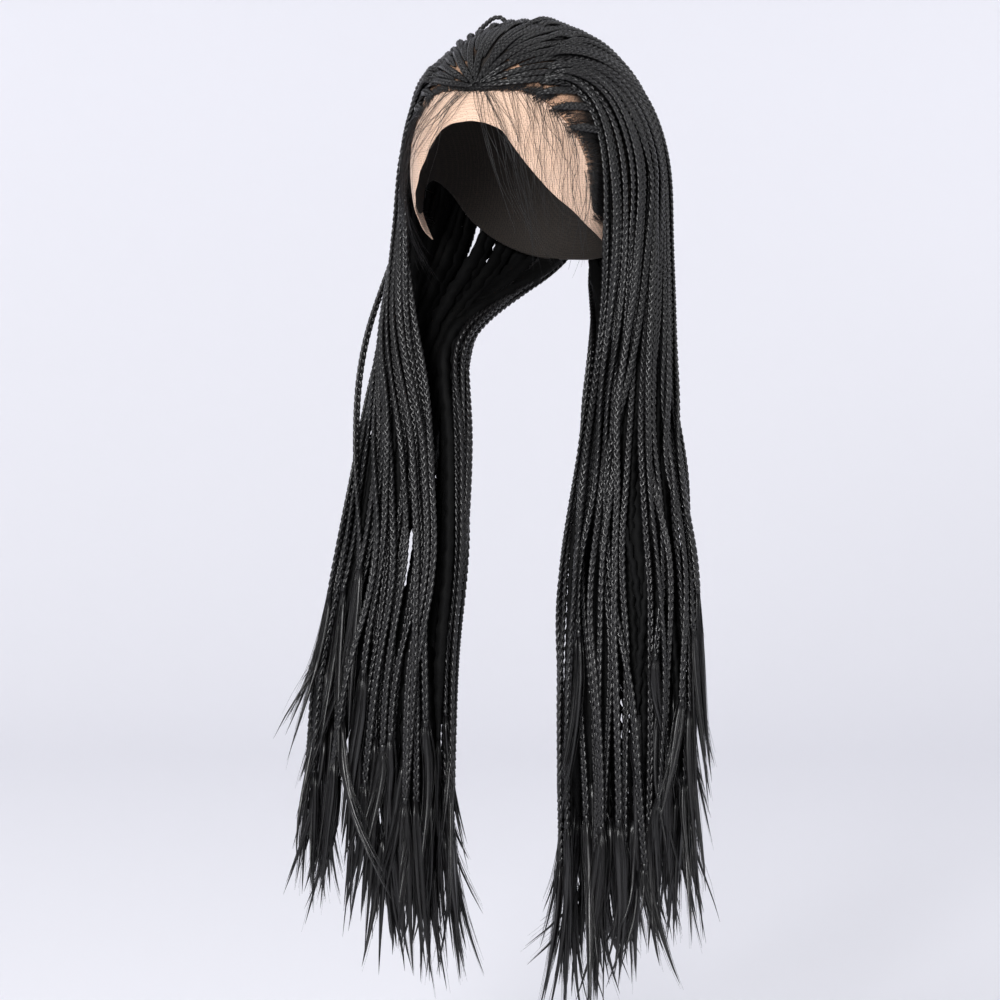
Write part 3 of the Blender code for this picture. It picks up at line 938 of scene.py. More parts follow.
@dataclass
class BraidPaths:
    """The lines of one side's braids: flat rows and free braids over the dome, then the fall."""

    side: Side
    head: HeadForm
    flow: HairFlow
    form: FallForm
    seed: int = 11
    rows: int = 10
    # How many braids come out between each flat row and the next.
    added: tuple[int, ...] = (3, 3, 2, 3, 3, 2, 3, 3, 3)
    edge_shares: tuple[float, ...] = (0.018, 0.974, 0.997)
    under: int = 30
    deep: int = 20
    braid_half: float = 2.4 * MM
    layer: float = 5.4 * MM
    apart: float = 5.3 * MM
    seat: float = 0.3 * MM
    row_lift: float = 2.0 * MM
    row_full_m: float = 0.022
    row_least: float = 0.36
    first_along: float = 0.012
    # The shares between which hidden braids lie, and those that no braid leaves.
    hidden_shares: tuple[float, float] = (0.05, 0.99)
    share_limits: tuple[float, float] = (0.003, 0.997)
    # How far along the dome free braids come out from below, layer by layer.
    outer_starts: tuple[float, ...] = (0.30, 0.36, 0.42, 0.50)
    under_start: float = 0.70
    deep_start: float = 0.90
    start_spread: float = 0.03
    # Hidden braids nearer to the face than this share start below the widest ring.
    face_share: float = 0.15
    outer_spacing: float = 1 / 38
    # Where the flat rows start, in turn, so that they don't crowd at the fan's point.
    row_starts: tuple[float, ...] = (0.01, 0.13, 0.02, 0.18, 0.01, 0.15, 0.02, 0.17, 0.01, 0.12)
    row_rises: tuple[float, float] = (0.36, 0.52)
    fan_steps: int = 14
    dome_steps: int = 18
    cap_steps: int = 5
    span_steps: int = 10
    sway: float = 1.5
    # Over what part of its length a braid's wander grows, and the least wander of a free one.
    frees_over: float = 0.4
    least_free: float = 0.12
    deepness: float = 2.6 * MM
    # How much deeper than its neighbours a free braid may lie, all along.
    own_depth: float = 3.2 * MM
    # How high over the cap's base a braid lies at least, below the widest ring.
    least_lift: float = 1.6 * MM
    # How braids find room: rounds, how hard they push and pull back, and the last smoothing.
    rounds: int = 50
    push_share: float = 0.27
    pull_share: float = 0.06
    last_rounds: int = 4
    eases_over: int = 8
    off_cap: float = 2.0 * MM
    # Rows: share, height of its middle, half its length and how far it stands out.
    strays_left: tuple = (
        (0.50, -0.225, 0.05, 0.004),
        (0.54, -0.300, 0.06, 0.006),
        (0.66, -0.420, 0.08, 0.009),
        (0.03, -0.380, 0.22, 0.009),
        (0.10, -0.400, 0.15, 0.006),
    )
    strays_right: tuple = (
        (0.30, -0.24, 0.10, 0.011),
        (0.37, -0.36, 0.09, 0.007),
        (0.24, -0.46, 0.08, 0.008),
    )

    def __post_init__(self) -> None:
        """Lay the lines and let them find room."""
        self.rng = np.random.default_rng(self.seed + (0 if self.side is Side.LEFT else 100))
        self._name_braids()
        turn = self.form.start_along
        fan = np.linspace(self.first_along, turn, self.fan_steps, endpoint=False)
        self.along = np.concatenate([fan, np.linspace(turn, 1.0, self.dome_steps)])
        self.dome_rows = len(self.along)
        self.total = self.dome_rows + self.cap_steps + self.span_steps * len(self.form.left)
        self._choose_starts()
        self._lay()
        self._settle()

    def _name_braids(self) -> None:
        """Give each braid its share of the side and its layer."""
        rows = (np.arange(self.rows) + 0.5) / self.rows
        between = [
            rows[i] + (k + 1) / (n + 1) / self.rows
            for i, n in enumerate(self.added)
            for k in range(n)
        ]
        outer = np.concatenate([rows, between, self.edge_shares])
        is_row = np.arange(len(outer)) < self.rows
        order = np.argsort(outer)
        parts = [outer[order]]
        for count in (self.under, self.deep):
            parts.append(lerp(*self.hidden_shares, (np.arange(count) + 0.5) / count))
        self.share = np.concatenate(parts)
        self.layers = np.repeat([layer.value for layer in Layer], [len(part) for part in parts])
        self.is_row = np.concatenate([is_row[order], np.zeros(self.under + self.deep, bool)])

    def _choose_starts(self) -> None:
        """Choose the row of points at which each braid comes out from below."""
        count = len(self.share)
        start = np.select(
            [self.is_row, self.layers == Layer.OUTER.value, self.layers == Layer.UNDER.value],
            [0.0, self.rng.choice(self.outer_starts, count), self.under_start],
            self.deep_start,
        )
        spread = self.rng.uniform(-self.start_spread, self.start_spread, count)
        start = start + np.where(self.is_row, 0.0, spread)
        start[np.nonzero(self.is_row)[0]] = self.row_starts[: self.rows]
        begins = np.searchsorted(self.along, start)
        low = (self.share < self.face_share) & (self.layers != Layer.OUTER.value)
        begins = np.clip(begins, 0, self.dome_rows - 1)
        self.begins = np.where(low, self.dome_rows + 1, begins)

    def _lay(self) -> None:
        """First lines of all braids, and where their flat sides face."""
        shares, inset = self._spread()
        self._grow_rows()
        rows = self._lay_dome(shares, inset) + self._lay_cap(shares, inset)
        rows += self._lay_fall(shares, inset, rows[-1])
        self.path, under = (np.stack(points, axis=1) for points in zip(*rows))
        self.facing = unit(self.path - under)

    def _spread(self) -> tuple[np.ndarray, np.ndarray]:
        """Each braid's share at each row, as it wanders, and how deep in the hair it lies."""
        place = np.linspace(0, 1, self.total)
        free = np.clip((place - self.fan_steps / self.total) / self.frees_over, 0, 1.2)
        ease = np.where(self.is_row[:, None], free, np.maximum(free, self.least_free))
        wander = np.stack([Wander(self.rng).at(place) for _ in self.share])
        is_layer = [self.layers == layer.value for layer in (Layer.OUTER, Layer.UNDER)]
        spacing = np.select(is_layer, [self.outer_spacing, 1 / self.under], 1 / self.deep)
        shares = self.share[:, None] + wander * ease * spacing[:, None] * self.sway
        depth = np.stack([Wander(self.rng).at(place) for _ in self.share]) * ease * self.deepness
        own = self.rng.uniform(0, self.own_depth, len(self.share))
        inset = (self.braid_half + self.layers * self.layer)[:, None] + np.abs(depth)
        inset = inset + np.where(self.is_row, 0.0, own)[:, None]
        return np.clip(shares, *self.share_limits), inset - self._stand_out()

    def _grow_rows(self) -> None:
        """How thick the flat rows are at each row of points: thin where they start."""
        towards = self.flow.towards(self.side, self.share[:, None], self.along[None])
        flat = self.head.over(towards, self.head.cap_wall)
        step = np.linalg.norm(np.diff(flat, axis=1, prepend=flat[:, :1]), axis=-1)
        gone = np.cumsum(step, axis=1)
        begins = np.minimum(self.begins, self.dome_rows - 1)
        gone = np.maximum(gone - gone[np.arange(len(gone)), begins][:, None], 0)
        self.row_scale = np.clip(self.row_least + gone / self.row_full_m, self.row_least, 1.0)

    def _lay_dome(self, shares: np.ndarray, inset: np.ndarray) -> list[tuple[np.ndarray, ...]]:
        """Points of all braids over the dome, row by row, each with points below them."""
        base = self.head.cap_wall + self.form.seat
        rows = []
        for row, along in enumerate(self.along):
            towards = self.flow.towards(self.side, shares[:, row], along)
            top = base + self.form.dome_thickness(self.share, along)
            lift = np.maximum(top - inset[:, row], base + self.braid_half * 0.7)
            lying = self.head.cap_wall + self.seat + self.row_lift * self.row_scale[:, row]
            risen = np.clip(np.interp(along, self.row_rises, (0, 1)), 0, 1)
            rises = lerp(lying, lift, risen * risen * (3 - 2 * risen))
            lift = np.where(self.is_row, rises, lift)
            rows.append((self.head.over(towards, lift), self.head.over(towards, lift - 0.01)))
        return rows

    def _lay_cap(self, shares: np.ndarray, inset: np.ndarray) -> list[tuple[np.ndarray, ...]]:
        """The same from the widest ring down to the cap's edge."""
        base = self.head.cap_wall + self.form.seat
        rows = []
        for step in range(1, self.cap_steps + 1):
            row = self.dome_rows + step - 1
            height = step / self.cap_steps * self.form.cap_edge_height(shares[:, row])
            bearing = self.flow.ring_bearing(self.side, shares[:, row])
            follows = lerp(*self.form.outside_follows, shares[:, row])
            under = self.head.over(bearing_direction(bearing, height), base)
            top = base + self.form.ring_thickness(self.share)
            lift = np.maximum(top - inset[:, row], base + self.least_lift)
            outside = self.head.over(bearing_direction(bearing, height * follows), lift)
            outside[:, 2] = under[:, 2]
            rows.append((outside, under))
        return rows

    def _lay_fall(
        self, shares: np.ndarray, inset: np.ndarray, before: tuple[np.ndarray, ...]
    ) -> list[tuple[np.ndarray, ...]]:
        """The same down the fall, from the row before it through each section."""
        first = self.dome_rows + self.cap_steps
        rows = []
        for index, section in enumerate(self.form.sections(self.side)):
            for step in range(1, self.span_steps + 1):
                row = first + len(rows)
                points = [
                    self.form.section_points(self.side, section, shares[:, row], depth)
                    for depth in (inset[:, row], 0.8 * section[4])
                ]
                if index == len(self.form.left) - 1:
                    drop = lerp(*self.form.end_drop, self.form.inward(self.share))
                    for each in points:
                        each[:, 2] -= drop + self.form.drawn_below
                part = step / self.span_steps
                rows.append(tuple(lerp(a, b, part) for a, b in zip(before, points)))
            before = rows[-1]
        return rows

    def _stand_out(self) -> np.ndarray:
        """How far each outer braid stands out of the fall at each row, for the few stray ones."""
        out = np.zeros((len(self.share), self.total))
        levels = [section[0] for section in self.form.left]
        steps = self.cap_steps + self.span_steps
        spans = [np.zeros(self.dome_rows), np.linspace(-self.head.half_height, levels[0], steps)]
        for before, after in zip(levels, levels[1:]):
            spans.append(np.linspace(before, after, self.span_steps + 1)[1:])
        heights = np.concatenate(spans)
        strays = self.strays_left if self.side is Side.LEFT else self.strays_right
        for share, middle, half, reach in strays:
            index = int(np.argmin(np.where(self.layers == 0, np.abs(self.share - share), 9.0)))
            near = np.clip(1 - np.abs(heights - middle) / half, 0, 1)
            out[index] = reach * near * near * (3 - 2 * near)
        return out

    def _settle(self) -> None:
        """Let braids push each other apart, hang smoothly and keep off the cap."""
        goal = self.path.copy()
        on_head = self.dome_rows + self.cap_steps
        clear = self.head.cap_wall + self.off_cap
        rows = np.arange(self.total)
        mobile = np.clip((rows - self.fan_steps + 2) / self.eases_over, 0, 1)[None, :, None]
        ease = np.clip((rows - self.dome_rows + self.eases_over) / self.eases_over, 0.15, 1)
        smooth_by = ease[None, 1:-1, None] * mobile[:, 1:-1]
        hidden = rows[None] < self.begins[:, None]
        same = np.eye(len(self.share), dtype=bool)[..., None]
        for _ in range(self.rounds):
            apart = self.path[:, None] - self.path[None]
            far = np.linalg.norm(apart, axis=-1)
            near = np.clip(self.apart - far, 0, None)
            near[same | hidden[:, None] | hidden[None]] = 0
            push = (apart / np.maximum(far, 1e-5)[..., None] * near[..., None]).sum(1)
            self.path += mobile * (self.push_share * push + self.pull_share * (goal - self.path))
            self._smooth(smooth_by)
            self.path[:, :on_head] = self.head.push_out(self.path[:, :on_head], clear)
        for _ in range(self.last_rounds):
            self._smooth(mobile[:, 1:-1])
        kept = self.head.push_out(self.path[:, :on_head], clear)
        self.path[:, :on_head] = lerp(self.path[:, :on_head], kept, mobile[:, :on_head])

    def _smooth(self, by: np.ndarray) -> None:
        """Move points towards the middle of their neighbours, by a share for each row."""
        inner = self.path[:, 1:-1]
        smooth = 0.25 * self.path[:, :-2] + 0.5 * inner + 0.25 * self.path[:, 2:]
        self.path[:, 1:-1] = lerp(inner, smooth, by)

    def end_row(self, index: int, end_z: float) -> float:
        """The place along a braid, in rows, at which it reaches a height."""
        z = self.path[index, :, 2]
        below = np.nonzero(z < end_z)[0]
        if not len(below):
            return float(len(z) - 1)
        i = int(below[0])
        return i - 1 + (z[i - 1] - end_z) / max(z[i - 1] - z[i], 1e-6)


@dataclass(frozen=True)
class BraidEnd:
    """Where a braid ends and what loose hair goes on from it."""

    place: np.ndarray
    ahead: np.ndarray
    facing: np.ndarray
    length: float
    tone: float
    full: bool


@dataclass
class Braids:
    """All braids of a side, in one piece for each lock, and where each one ends."""

    paths: BraidPaths
    fibre: bpy.types.Material
    # A darker copy of the fibre without gloss, for the hidden braids: painted shade.
    inside_fibre: bpy.types.Material
    pattern: BraidPattern = field(default_factory=BraidPattern)
    hidden: HiddenPlait = field(default_factory=HiddenPlait)
    locks: int = 6
    sides: int = 5
    twist: float = 0.9
    # Over how many rows a free braid comes out, from how deep, and how thick it is at first.
    emerge_rows: int = 3
    emerge_depth: float = 3.0 * MM
    emerge_scale: float = 0.6
    # How much thickness and tone vary, and how the stitch stretches from the crown to the end.
    scales: tuple[float, float] = (0.92, 1.07)
    tones: tuple[float, float] = (0.7, 1.3)
    stretches: tuple[float, float] = (0.97, 1.22)
    # How thick the deep braids and the plain under braids are where they hang, and their tone, which is
    # lowered as painted shade for hair deep in the fall.
    deep_size: float = 2.4
    under_size: float = 1.1
    hidden_tone: float = 0.8
    # How thick a hidden braid is where it lies on the cap, and over how many rows it swells below.
    flat_size: float = 1.15
    swells_over: int = 3
    # Under braids whose share lies outside these limits show, so they are plaited in full.
    covered_left: tuple[float, float] = (0.12, 1.0)
    covered_right: tuple[float, float] = (0.26, 0.84)
    loose_length: tuple[float, float] = (0.080, 0.140)
    loose_drop: float = 0.97
    reach: float = 0.016
    # How much higher than the lowest ends a braid's loose end may stop, and how often.
    higher: tuple = ((0.60, -0.012, 0.020), (0.25, 0.020, 0.070), (0.15, 0.070, 0.140))
    # Rows: share and height of the end of the few short braids.
    short_left: tuple = ((0.47, -0.365), (0.55, -0.425), (0.30, -0.44))
    short_right: tuple = ((0.33, -0.40), (0.62, -0.43))
    ends: list[BraidEnd] = field(default_factory=list)

    def build(self) -> None:
        """Plait them all."""
        paths, side = self.paths, self.paths.side
        rng = np.random.default_rng(paths.seed + (7 if side is Side.LEFT else 8))
        outer = [StrandMesh() for _ in range(self.locks)]
        inner, deep = StrandMesh(), StrandMesh()
        short = self._short_ends()
        covered = self.covered_left if side is Side.LEFT else self.covered_right
        for index, share in enumerate(paths.share):
            layer = Layer(paths.layers[index])
            length = float(rng.uniform(*self.loose_length))
            _, least, most = self.higher[rng.choice(3, p=[row[0] for row in self.higher])]
            tip_z = float(paths.form.tip_z(side, share)) + rng.uniform(least, most) - self.reach
            last = paths.end_row(index, short.get(index, tip_z + length * self.loose_drop))
            first = float(paths.begins[index])
            at = np.linspace(first, last, int((last - first) * 2) + 2)
            line = curve_sample(paths.path[index], at)
            facing = unit(curve_sample(paths.facing[index], at))
            tone = float(rng.uniform(*self.tones))
            shows = not covered[0] < share < covered[1]
            if layer is Layer.OUTER:
                lock = min(int(share * self.locks), self.locks - 1)
                self._plait(outer[lock], index, at, line, facing, tone, rng)
            elif shows and layer is Layer.UNDER:
                self._plait(inner, index, at, line, facing, tone, rng)
            else:
                full = self.deep_size if layer is Layer.DEEP else self.under_size
                below = (at - paths.dome_rows - paths.cap_steps + 1) / self.swells_over
                size = lerp(self.flat_size, full, np.clip(below, 0, 1))
                # Hidden braids are toned darker than the rest, as painted shade.
                self.hidden.add(deep, line, facing, size, tone * self.hidden_tone)
            ahead = unit(line[-1] - line[-4])
            ends_full = layer is Layer.OUTER
            self.ends.append(BraidEnd(line[-1], ahead, facing[-1], length, tone, ends_full))
        for lock, mesh in enumerate(outer):
            made = mesh.to_object(f"braids_{side.word}_{lock + 1}", self.fibre, "hair")
            rows = [
                f"cornrow_{side.word}_{i + 1:02d}"
                for i in range(paths.rows)
                if int((1 - (i + 0.5) / paths.rows) * self.locks) == lock
            ]
            locks = [f"{place}_lock_{side.word}_{lock + 1}" for place in ("crown", "fall")]
            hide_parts(*locks, *rows)
        inner.to_object(f"under_braids_{side.word}", self.fibre, "hair")
        # The hidden braids get the darker fibre of painted shade.
        deep.to_object(f"deep_braids_{side.word}", self.inside_fibre, "hair")

    def _short_ends(self) -> dict[int, float]:
        """Heights at which the short braids end, by their index."""
        rows = self.short_left if self.paths.side is Side.LEFT else self.short_right
        outer = self.paths.layers == Layer.OUTER.value
        ends = {}
        for share, z in rows:
            ends[int(np.argmin(np.where(outer, np.abs(self.paths.share - share), 9.0)))] = z
        return ends

    def _plait(
        self,
        mesh: StrandMesh,
        index: int,
        at: np.ndarray,
        line: np.ndarray,
        facing: np.ndarray,
        tone: float,
        rng: np.random.Generator,
    ) -> None:
        """Plait one outer braid, which lies still on the head and turns a little as it hangs."""
        paths = self.paths
        scale = np.full(len(at), rng.uniform(*self.scales))
        hanging = np.clip((at - paths.dome_rows * 0.8) / (0.35 * paths.total), 0.0, 1)
        twist = Wander(rng, (1.2, 3.1)).at(at / paths.total) * self.twist * np.maximum(hanging, 0.1)
        if paths.is_row[index]:
            grown = np.interp(at, np.arange(paths.dome_rows), paths.row_scale[index])
            scale = scale * grown
            twist = twist * np.clip((at - paths.fan_steps) / 8, 0, 1)
        else:
            out = np.clip((at - at[0]) / self.emerge_rows, 0, 1)
            line = line - facing * ((1 - out) ** 1.5 * self.emerge_depth)[:, None]
            scale = scale * lerp(self.emerge_scale, 1.0, out)
        below = np.clip((at - paths.dome_rows) / (paths.total - paths.dome_rows), 0, 1)
        # A thin braid has a short stitch.
        stretch = lerp(*self.stretches, below) * np.minimum(1.15 * scale + 0.06, 1.0)
        phase = rng.uniform(0, self.pattern.rows_a_period)
        self.pattern.add(mesh, line, facing, scale, stretch, twist, self.sides, tone, phase)


@dataclass
class TempleRows:
    """The three short rows plaited flat at a temple."""

    side: Side
    head: HeadForm
    fibre: bpy.types.Material
    pattern: BraidPattern = BraidPattern(1.85 * MM, 1.25 * MM, 1.45 * MM, 1.35 * MM, 14.0 * MM)
    lift: float = 2.4 * MM
    points: int = 30
    # The least and full thickness, and how fast a row grows to it.
    scales: tuple[float, float] = (0.28, 1.05)
    growth: float = 2.4
    stretch: float = 0.9
    sides: int = 6
    # Rows: name, bearing and height at the hairline, then under the fall.
    rows: tuple = (
        ("upper", 35.5, 30.8, 62.0, 31.5),
        ("middle", 44.0, 24.6, 66.0, 24.5),
        ("lower", 52.0, 16.6, 68.0, 15.2),
    )

    def build(self) -> None:
        """Plait them."""
        mesh = StrandMesh()
        for _, bearing, height, end_bearing, end_height in self.rows:
            start = bearing_direction(self.side.value * bearing, height)
            end = bearing_direction(self.side.value * end_bearing, end_height)
            part = np.linspace(0, 1, self.points)
            towards = arc_between(start, end, part)
            scale = np.clip(self.scales[0] + part * self.growth, *self.scales)
            line = self.head.over(towards, self.head.cap_wall + self.lift * scale)
            stretch, twist = np.full(self.points, self.stretch), np.zeros(self.points)
            self.pattern.add(mesh, line, towards, scale, stretch, twist, self.sides, 1.0, 0.0)
        made = mesh.to_object(f"temple_rows_{self.side.word}", self.fibre, "hair")
        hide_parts(*[f"temple_row_{self.side.word}_{row[0]}" for row in self.rows])


@dataclass
class LooseEnds:
    """Unbraided hair below each braid, in pointed wisps, with the thread that ties it off."""

    side: Side
    fibre: bpy.types.Material
    wisps: int = 3
    wisp_flat: float = 0.55
    thinnest: float = 0.06 * MM
    wisp_rows: int = 9
    wisp_sides: int = 6
    wisp_wide: float = 3.5 * MM
    hairs: int = 19
    hairs_inside: int = 5
    hair_half: float = 0.27 * MM
    tie_half: float = 2.4 * MM
    bend: float = 0.10
    # How often a loose end crosses its neighbours, and how far it then leans.
    crossing: tuple[float, float] = (0.18, 0.22)
    flare: tuple[float, float] = (-0.06, 0.20)
    wave: float = 3.0 * MM
    # The room that hair may take, x then y, and over what length it is pressed back into it.
    room: tuple = ((-0.159, 0.169), (-0.1185, 0.133))
    room_margin: float = 0.014

    def build(self, ends: list[BraidEnd]) -> None:
        """Hang the loose hair.

        Args:
            ends: where each braid ends.
        """
        rng = np.random.default_rng(31 if self.side is Side.LEFT else 32)
        hair, ties = StrandMesh(), StrandMesh()
        for end in ends:
            self._hang(hair, end, rng)
            if end.full:
                self._tie(ties, end)
        hair.to_object(f"loose_ends_{self.side.word}", self.fibre, "hair")
        ties.to_object(f"thread_ties_{self.side.word}", self.fibre, "hair")

    def _hang(self, hair: StrandMesh, end: BraidEnd, rng: np.random.Generator) -> None:
        """Three flat wisps, each drawn to a point, with single hairs along them."""
        down = unit(end.ahead + np.array([0.0, 0.0, -0.8]))
        out = unit(end.facing * np.array([1.0, 1.0, 0.0]) + 1e-6)
        beside = np.cross(out, np.array([0.0, 0.0, 1.0]))
        lean = self.crossing[1] if rng.random() < self.crossing[0] else self.bend
        sway = out * rng.uniform(*self.flare) + beside * rng.normal(0, lean)
        each = (self.wisps, 1)
        bends = sway + out * rng.normal(0, 0.04, each) + beside * rng.normal(0, 0.05, each)
        lengths = end.length * np.array([1.0, rng.uniform(0.8, 0.95), rng.uniform(0.55, 0.85)])
        spread = (np.arange(self.wisps) - 1)[:, None, None] * beside * 2.2 * MM
        t = np.linspace(0, 1, self.wisp_rows)[None, :, None]
        opened = np.clip(t / 0.25, 0, 1) * (1 - 0.5 * t)
        start = end.place - end.ahead * 2 * MM
        wave = np.sin(4.4 * t + rng.uniform(0, 2 * math.pi)) * t * rng.normal(0, self.wave)
        hang = lengths[:, None, None] * (down * t + bends[:, None] * t**1.8)
        lines = self._in_room(start + hang + spread * opened + beside * wave)
        belly = 0.55 + 0.45 * np.sin(math.pi * np.clip(t[..., 0] / 0.8, 0, 1) ** 0.8)
        shape = belly * (1 - t[..., 0]) ** 0.42
        wide = np.maximum(self.wisp_wide * shape * rng.uniform(0.85, 1.15, each), self.thinnest)
        facing = unit(out + beside * rng.normal(0, 0.4, each))[:, None]
        hair.add(
            lines,
            np.broadcast_to(facing, lines.shape),
            wide,
            np.maximum(wide * self.wisp_flat, self.thinnest),
            self.wisp_sides,
            np.full(self.wisps, end.tone * 0.85),
        )
        count = self.hairs if end.full else self.hairs_inside
        which = rng.integers(0, self.wisps, count)
        around = rng.uniform(0, 2 * math.pi, count)[:, None, None]
        off = np.cos(around) * beside * 1.25 + np.sin(around) * out * 0.8
        own = wide[which][..., None] * off + off * rng.gamma(1.0, 1.2, (count, 1, 1)) * MM * t**1.5
        reach = rng.uniform(0.75, 1.06, count)[:, None, None]
        strands = self._in_room(start + (lines[which] - start) * reach + own)
        radius = np.broadcast_to(self.hair_half * (1 - 0.8 * t[..., 0] ** 2), strands.shape[:2])
        facing = np.broadcast_to(out, strands.shape)
        hair.add(strands, facing, radius, radius, 3, np.full(count, end.tone))

    def _in_room(self, points: np.ndarray) -> np.ndarray:
        """Points with what strays too far out pressed back, softly."""
        kept = points.copy()
        for axis, (low, high) in enumerate(self.room):
            over = np.maximum(kept[..., axis] - (high - self.room_margin), 0)
            under = np.maximum((low + self.room_margin) - kept[..., axis], 0)
            kept[..., axis] -= over - self.room_margin * np.tanh(over / self.room_margin)
            kept[..., axis] += under - self.room_margin * np.tanh(under / self.room_margin)
        return kept

    def _tie(self, ties: StrandMesh, end: BraidEnd) -> None:
        """Wind the thread at a braid's end."""
        at = np.array([-0.0030, -0.0022, 0.0, 0.0022, 0.0030])
        size = np.array([[0.70, 1.0, 1.06, 1.0, 0.70]]) * self.tie_half
        line = (end.place + end.ahead * at[:, None])[None]
        ties.add(line, np.broadcast_to(end.facing, line.shape), size, 0.85 * size, 8, np.array([0.5]))


@dataclass
class CapAndLace:
    """The net cap and the sheer lace in front of the hairline."""

    head: HeadForm
    edges: EdgeLines
    net: bpy.types.Material
    lace: bpy.types.Material
    lace_wall: float = 0.5 * MM
    cap_rows: int = 26
    lace_rows: int = 8
    lace_columns: int = 70
    lace_sunk: float = 0.3 * MM
    ripple: float = 0.35 * MM
    lace_flat: tuple[float, float] = (0.045, 0.300)
    panels: tuple[str, ...] = (
        "cap_crown",
        "cap_front",
        "cap_temple_left",
        "cap_temple_right",
        "cap_ear_left",
        "cap_ear_right",
        "cap_nape_left",
        "cap_nape_right",
    )

    def build(self) -> None:
        """Make both."""
        loop = self.edges.cap_loop(4)
        crown = np.array([0.0, 0.0, 1.0])
        share = np.linspace(0, 1, self.cap_rows)
        towards = arc_between(loop[:, None], np.broadcast_to(crown, (1, 1, 3)), share[None])
        grid = self.head.over(towards, self.head.cap_wall)
        cap = shell_object("cap_net", grid, True, self.head.cap_wall, self.net)
        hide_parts(*self.panels)
        share = np.linspace(0, 1, self.lace_columns)
        down = np.linspace(0.015, 1, self.lace_rows)
        columns = []
        for sign, order in ((-1, share[::-1]), (1, share[1:])):
            bearing, height = self.edges.hairline(order)
            free_bearing, free_height = self.edges.free_edge(order)
            hair = bearing_direction(sign * bearing, height)
            free = bearing_direction(sign * free_bearing, free_height)
            columns.append(arc_between(hair[:, None], free[:, None], down[None]))
        towards = np.concatenate(columns)
        for _ in range(3):
            towards[1:-1] = unit(0.25 * towards[:-2] + 0.5 * towards[1:-1] + 0.25 * towards[2:])
        loosens = np.linspace(0, 1, self.lace_rows) ** 2
        ripple = self.ripple * np.sin(np.arange(len(towards)) * 0.55)[:, None] * loosens
        grid = self.head.over(towards, self.head.cap_wall - self.lace_sunk + ripple)
        lace = shell_object("lace_sheet", grid, False, self.lace_wall, self.lace)
        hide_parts("lace_front")


@dataclass(frozen=True)
class Wisps:
    """A group of long fine hairs: how many, and bearing, height and lift in mm down their way."""

    count: int
    way: tuple[tuple[float, float, float], ...]
    half: float = 0.21 * MM


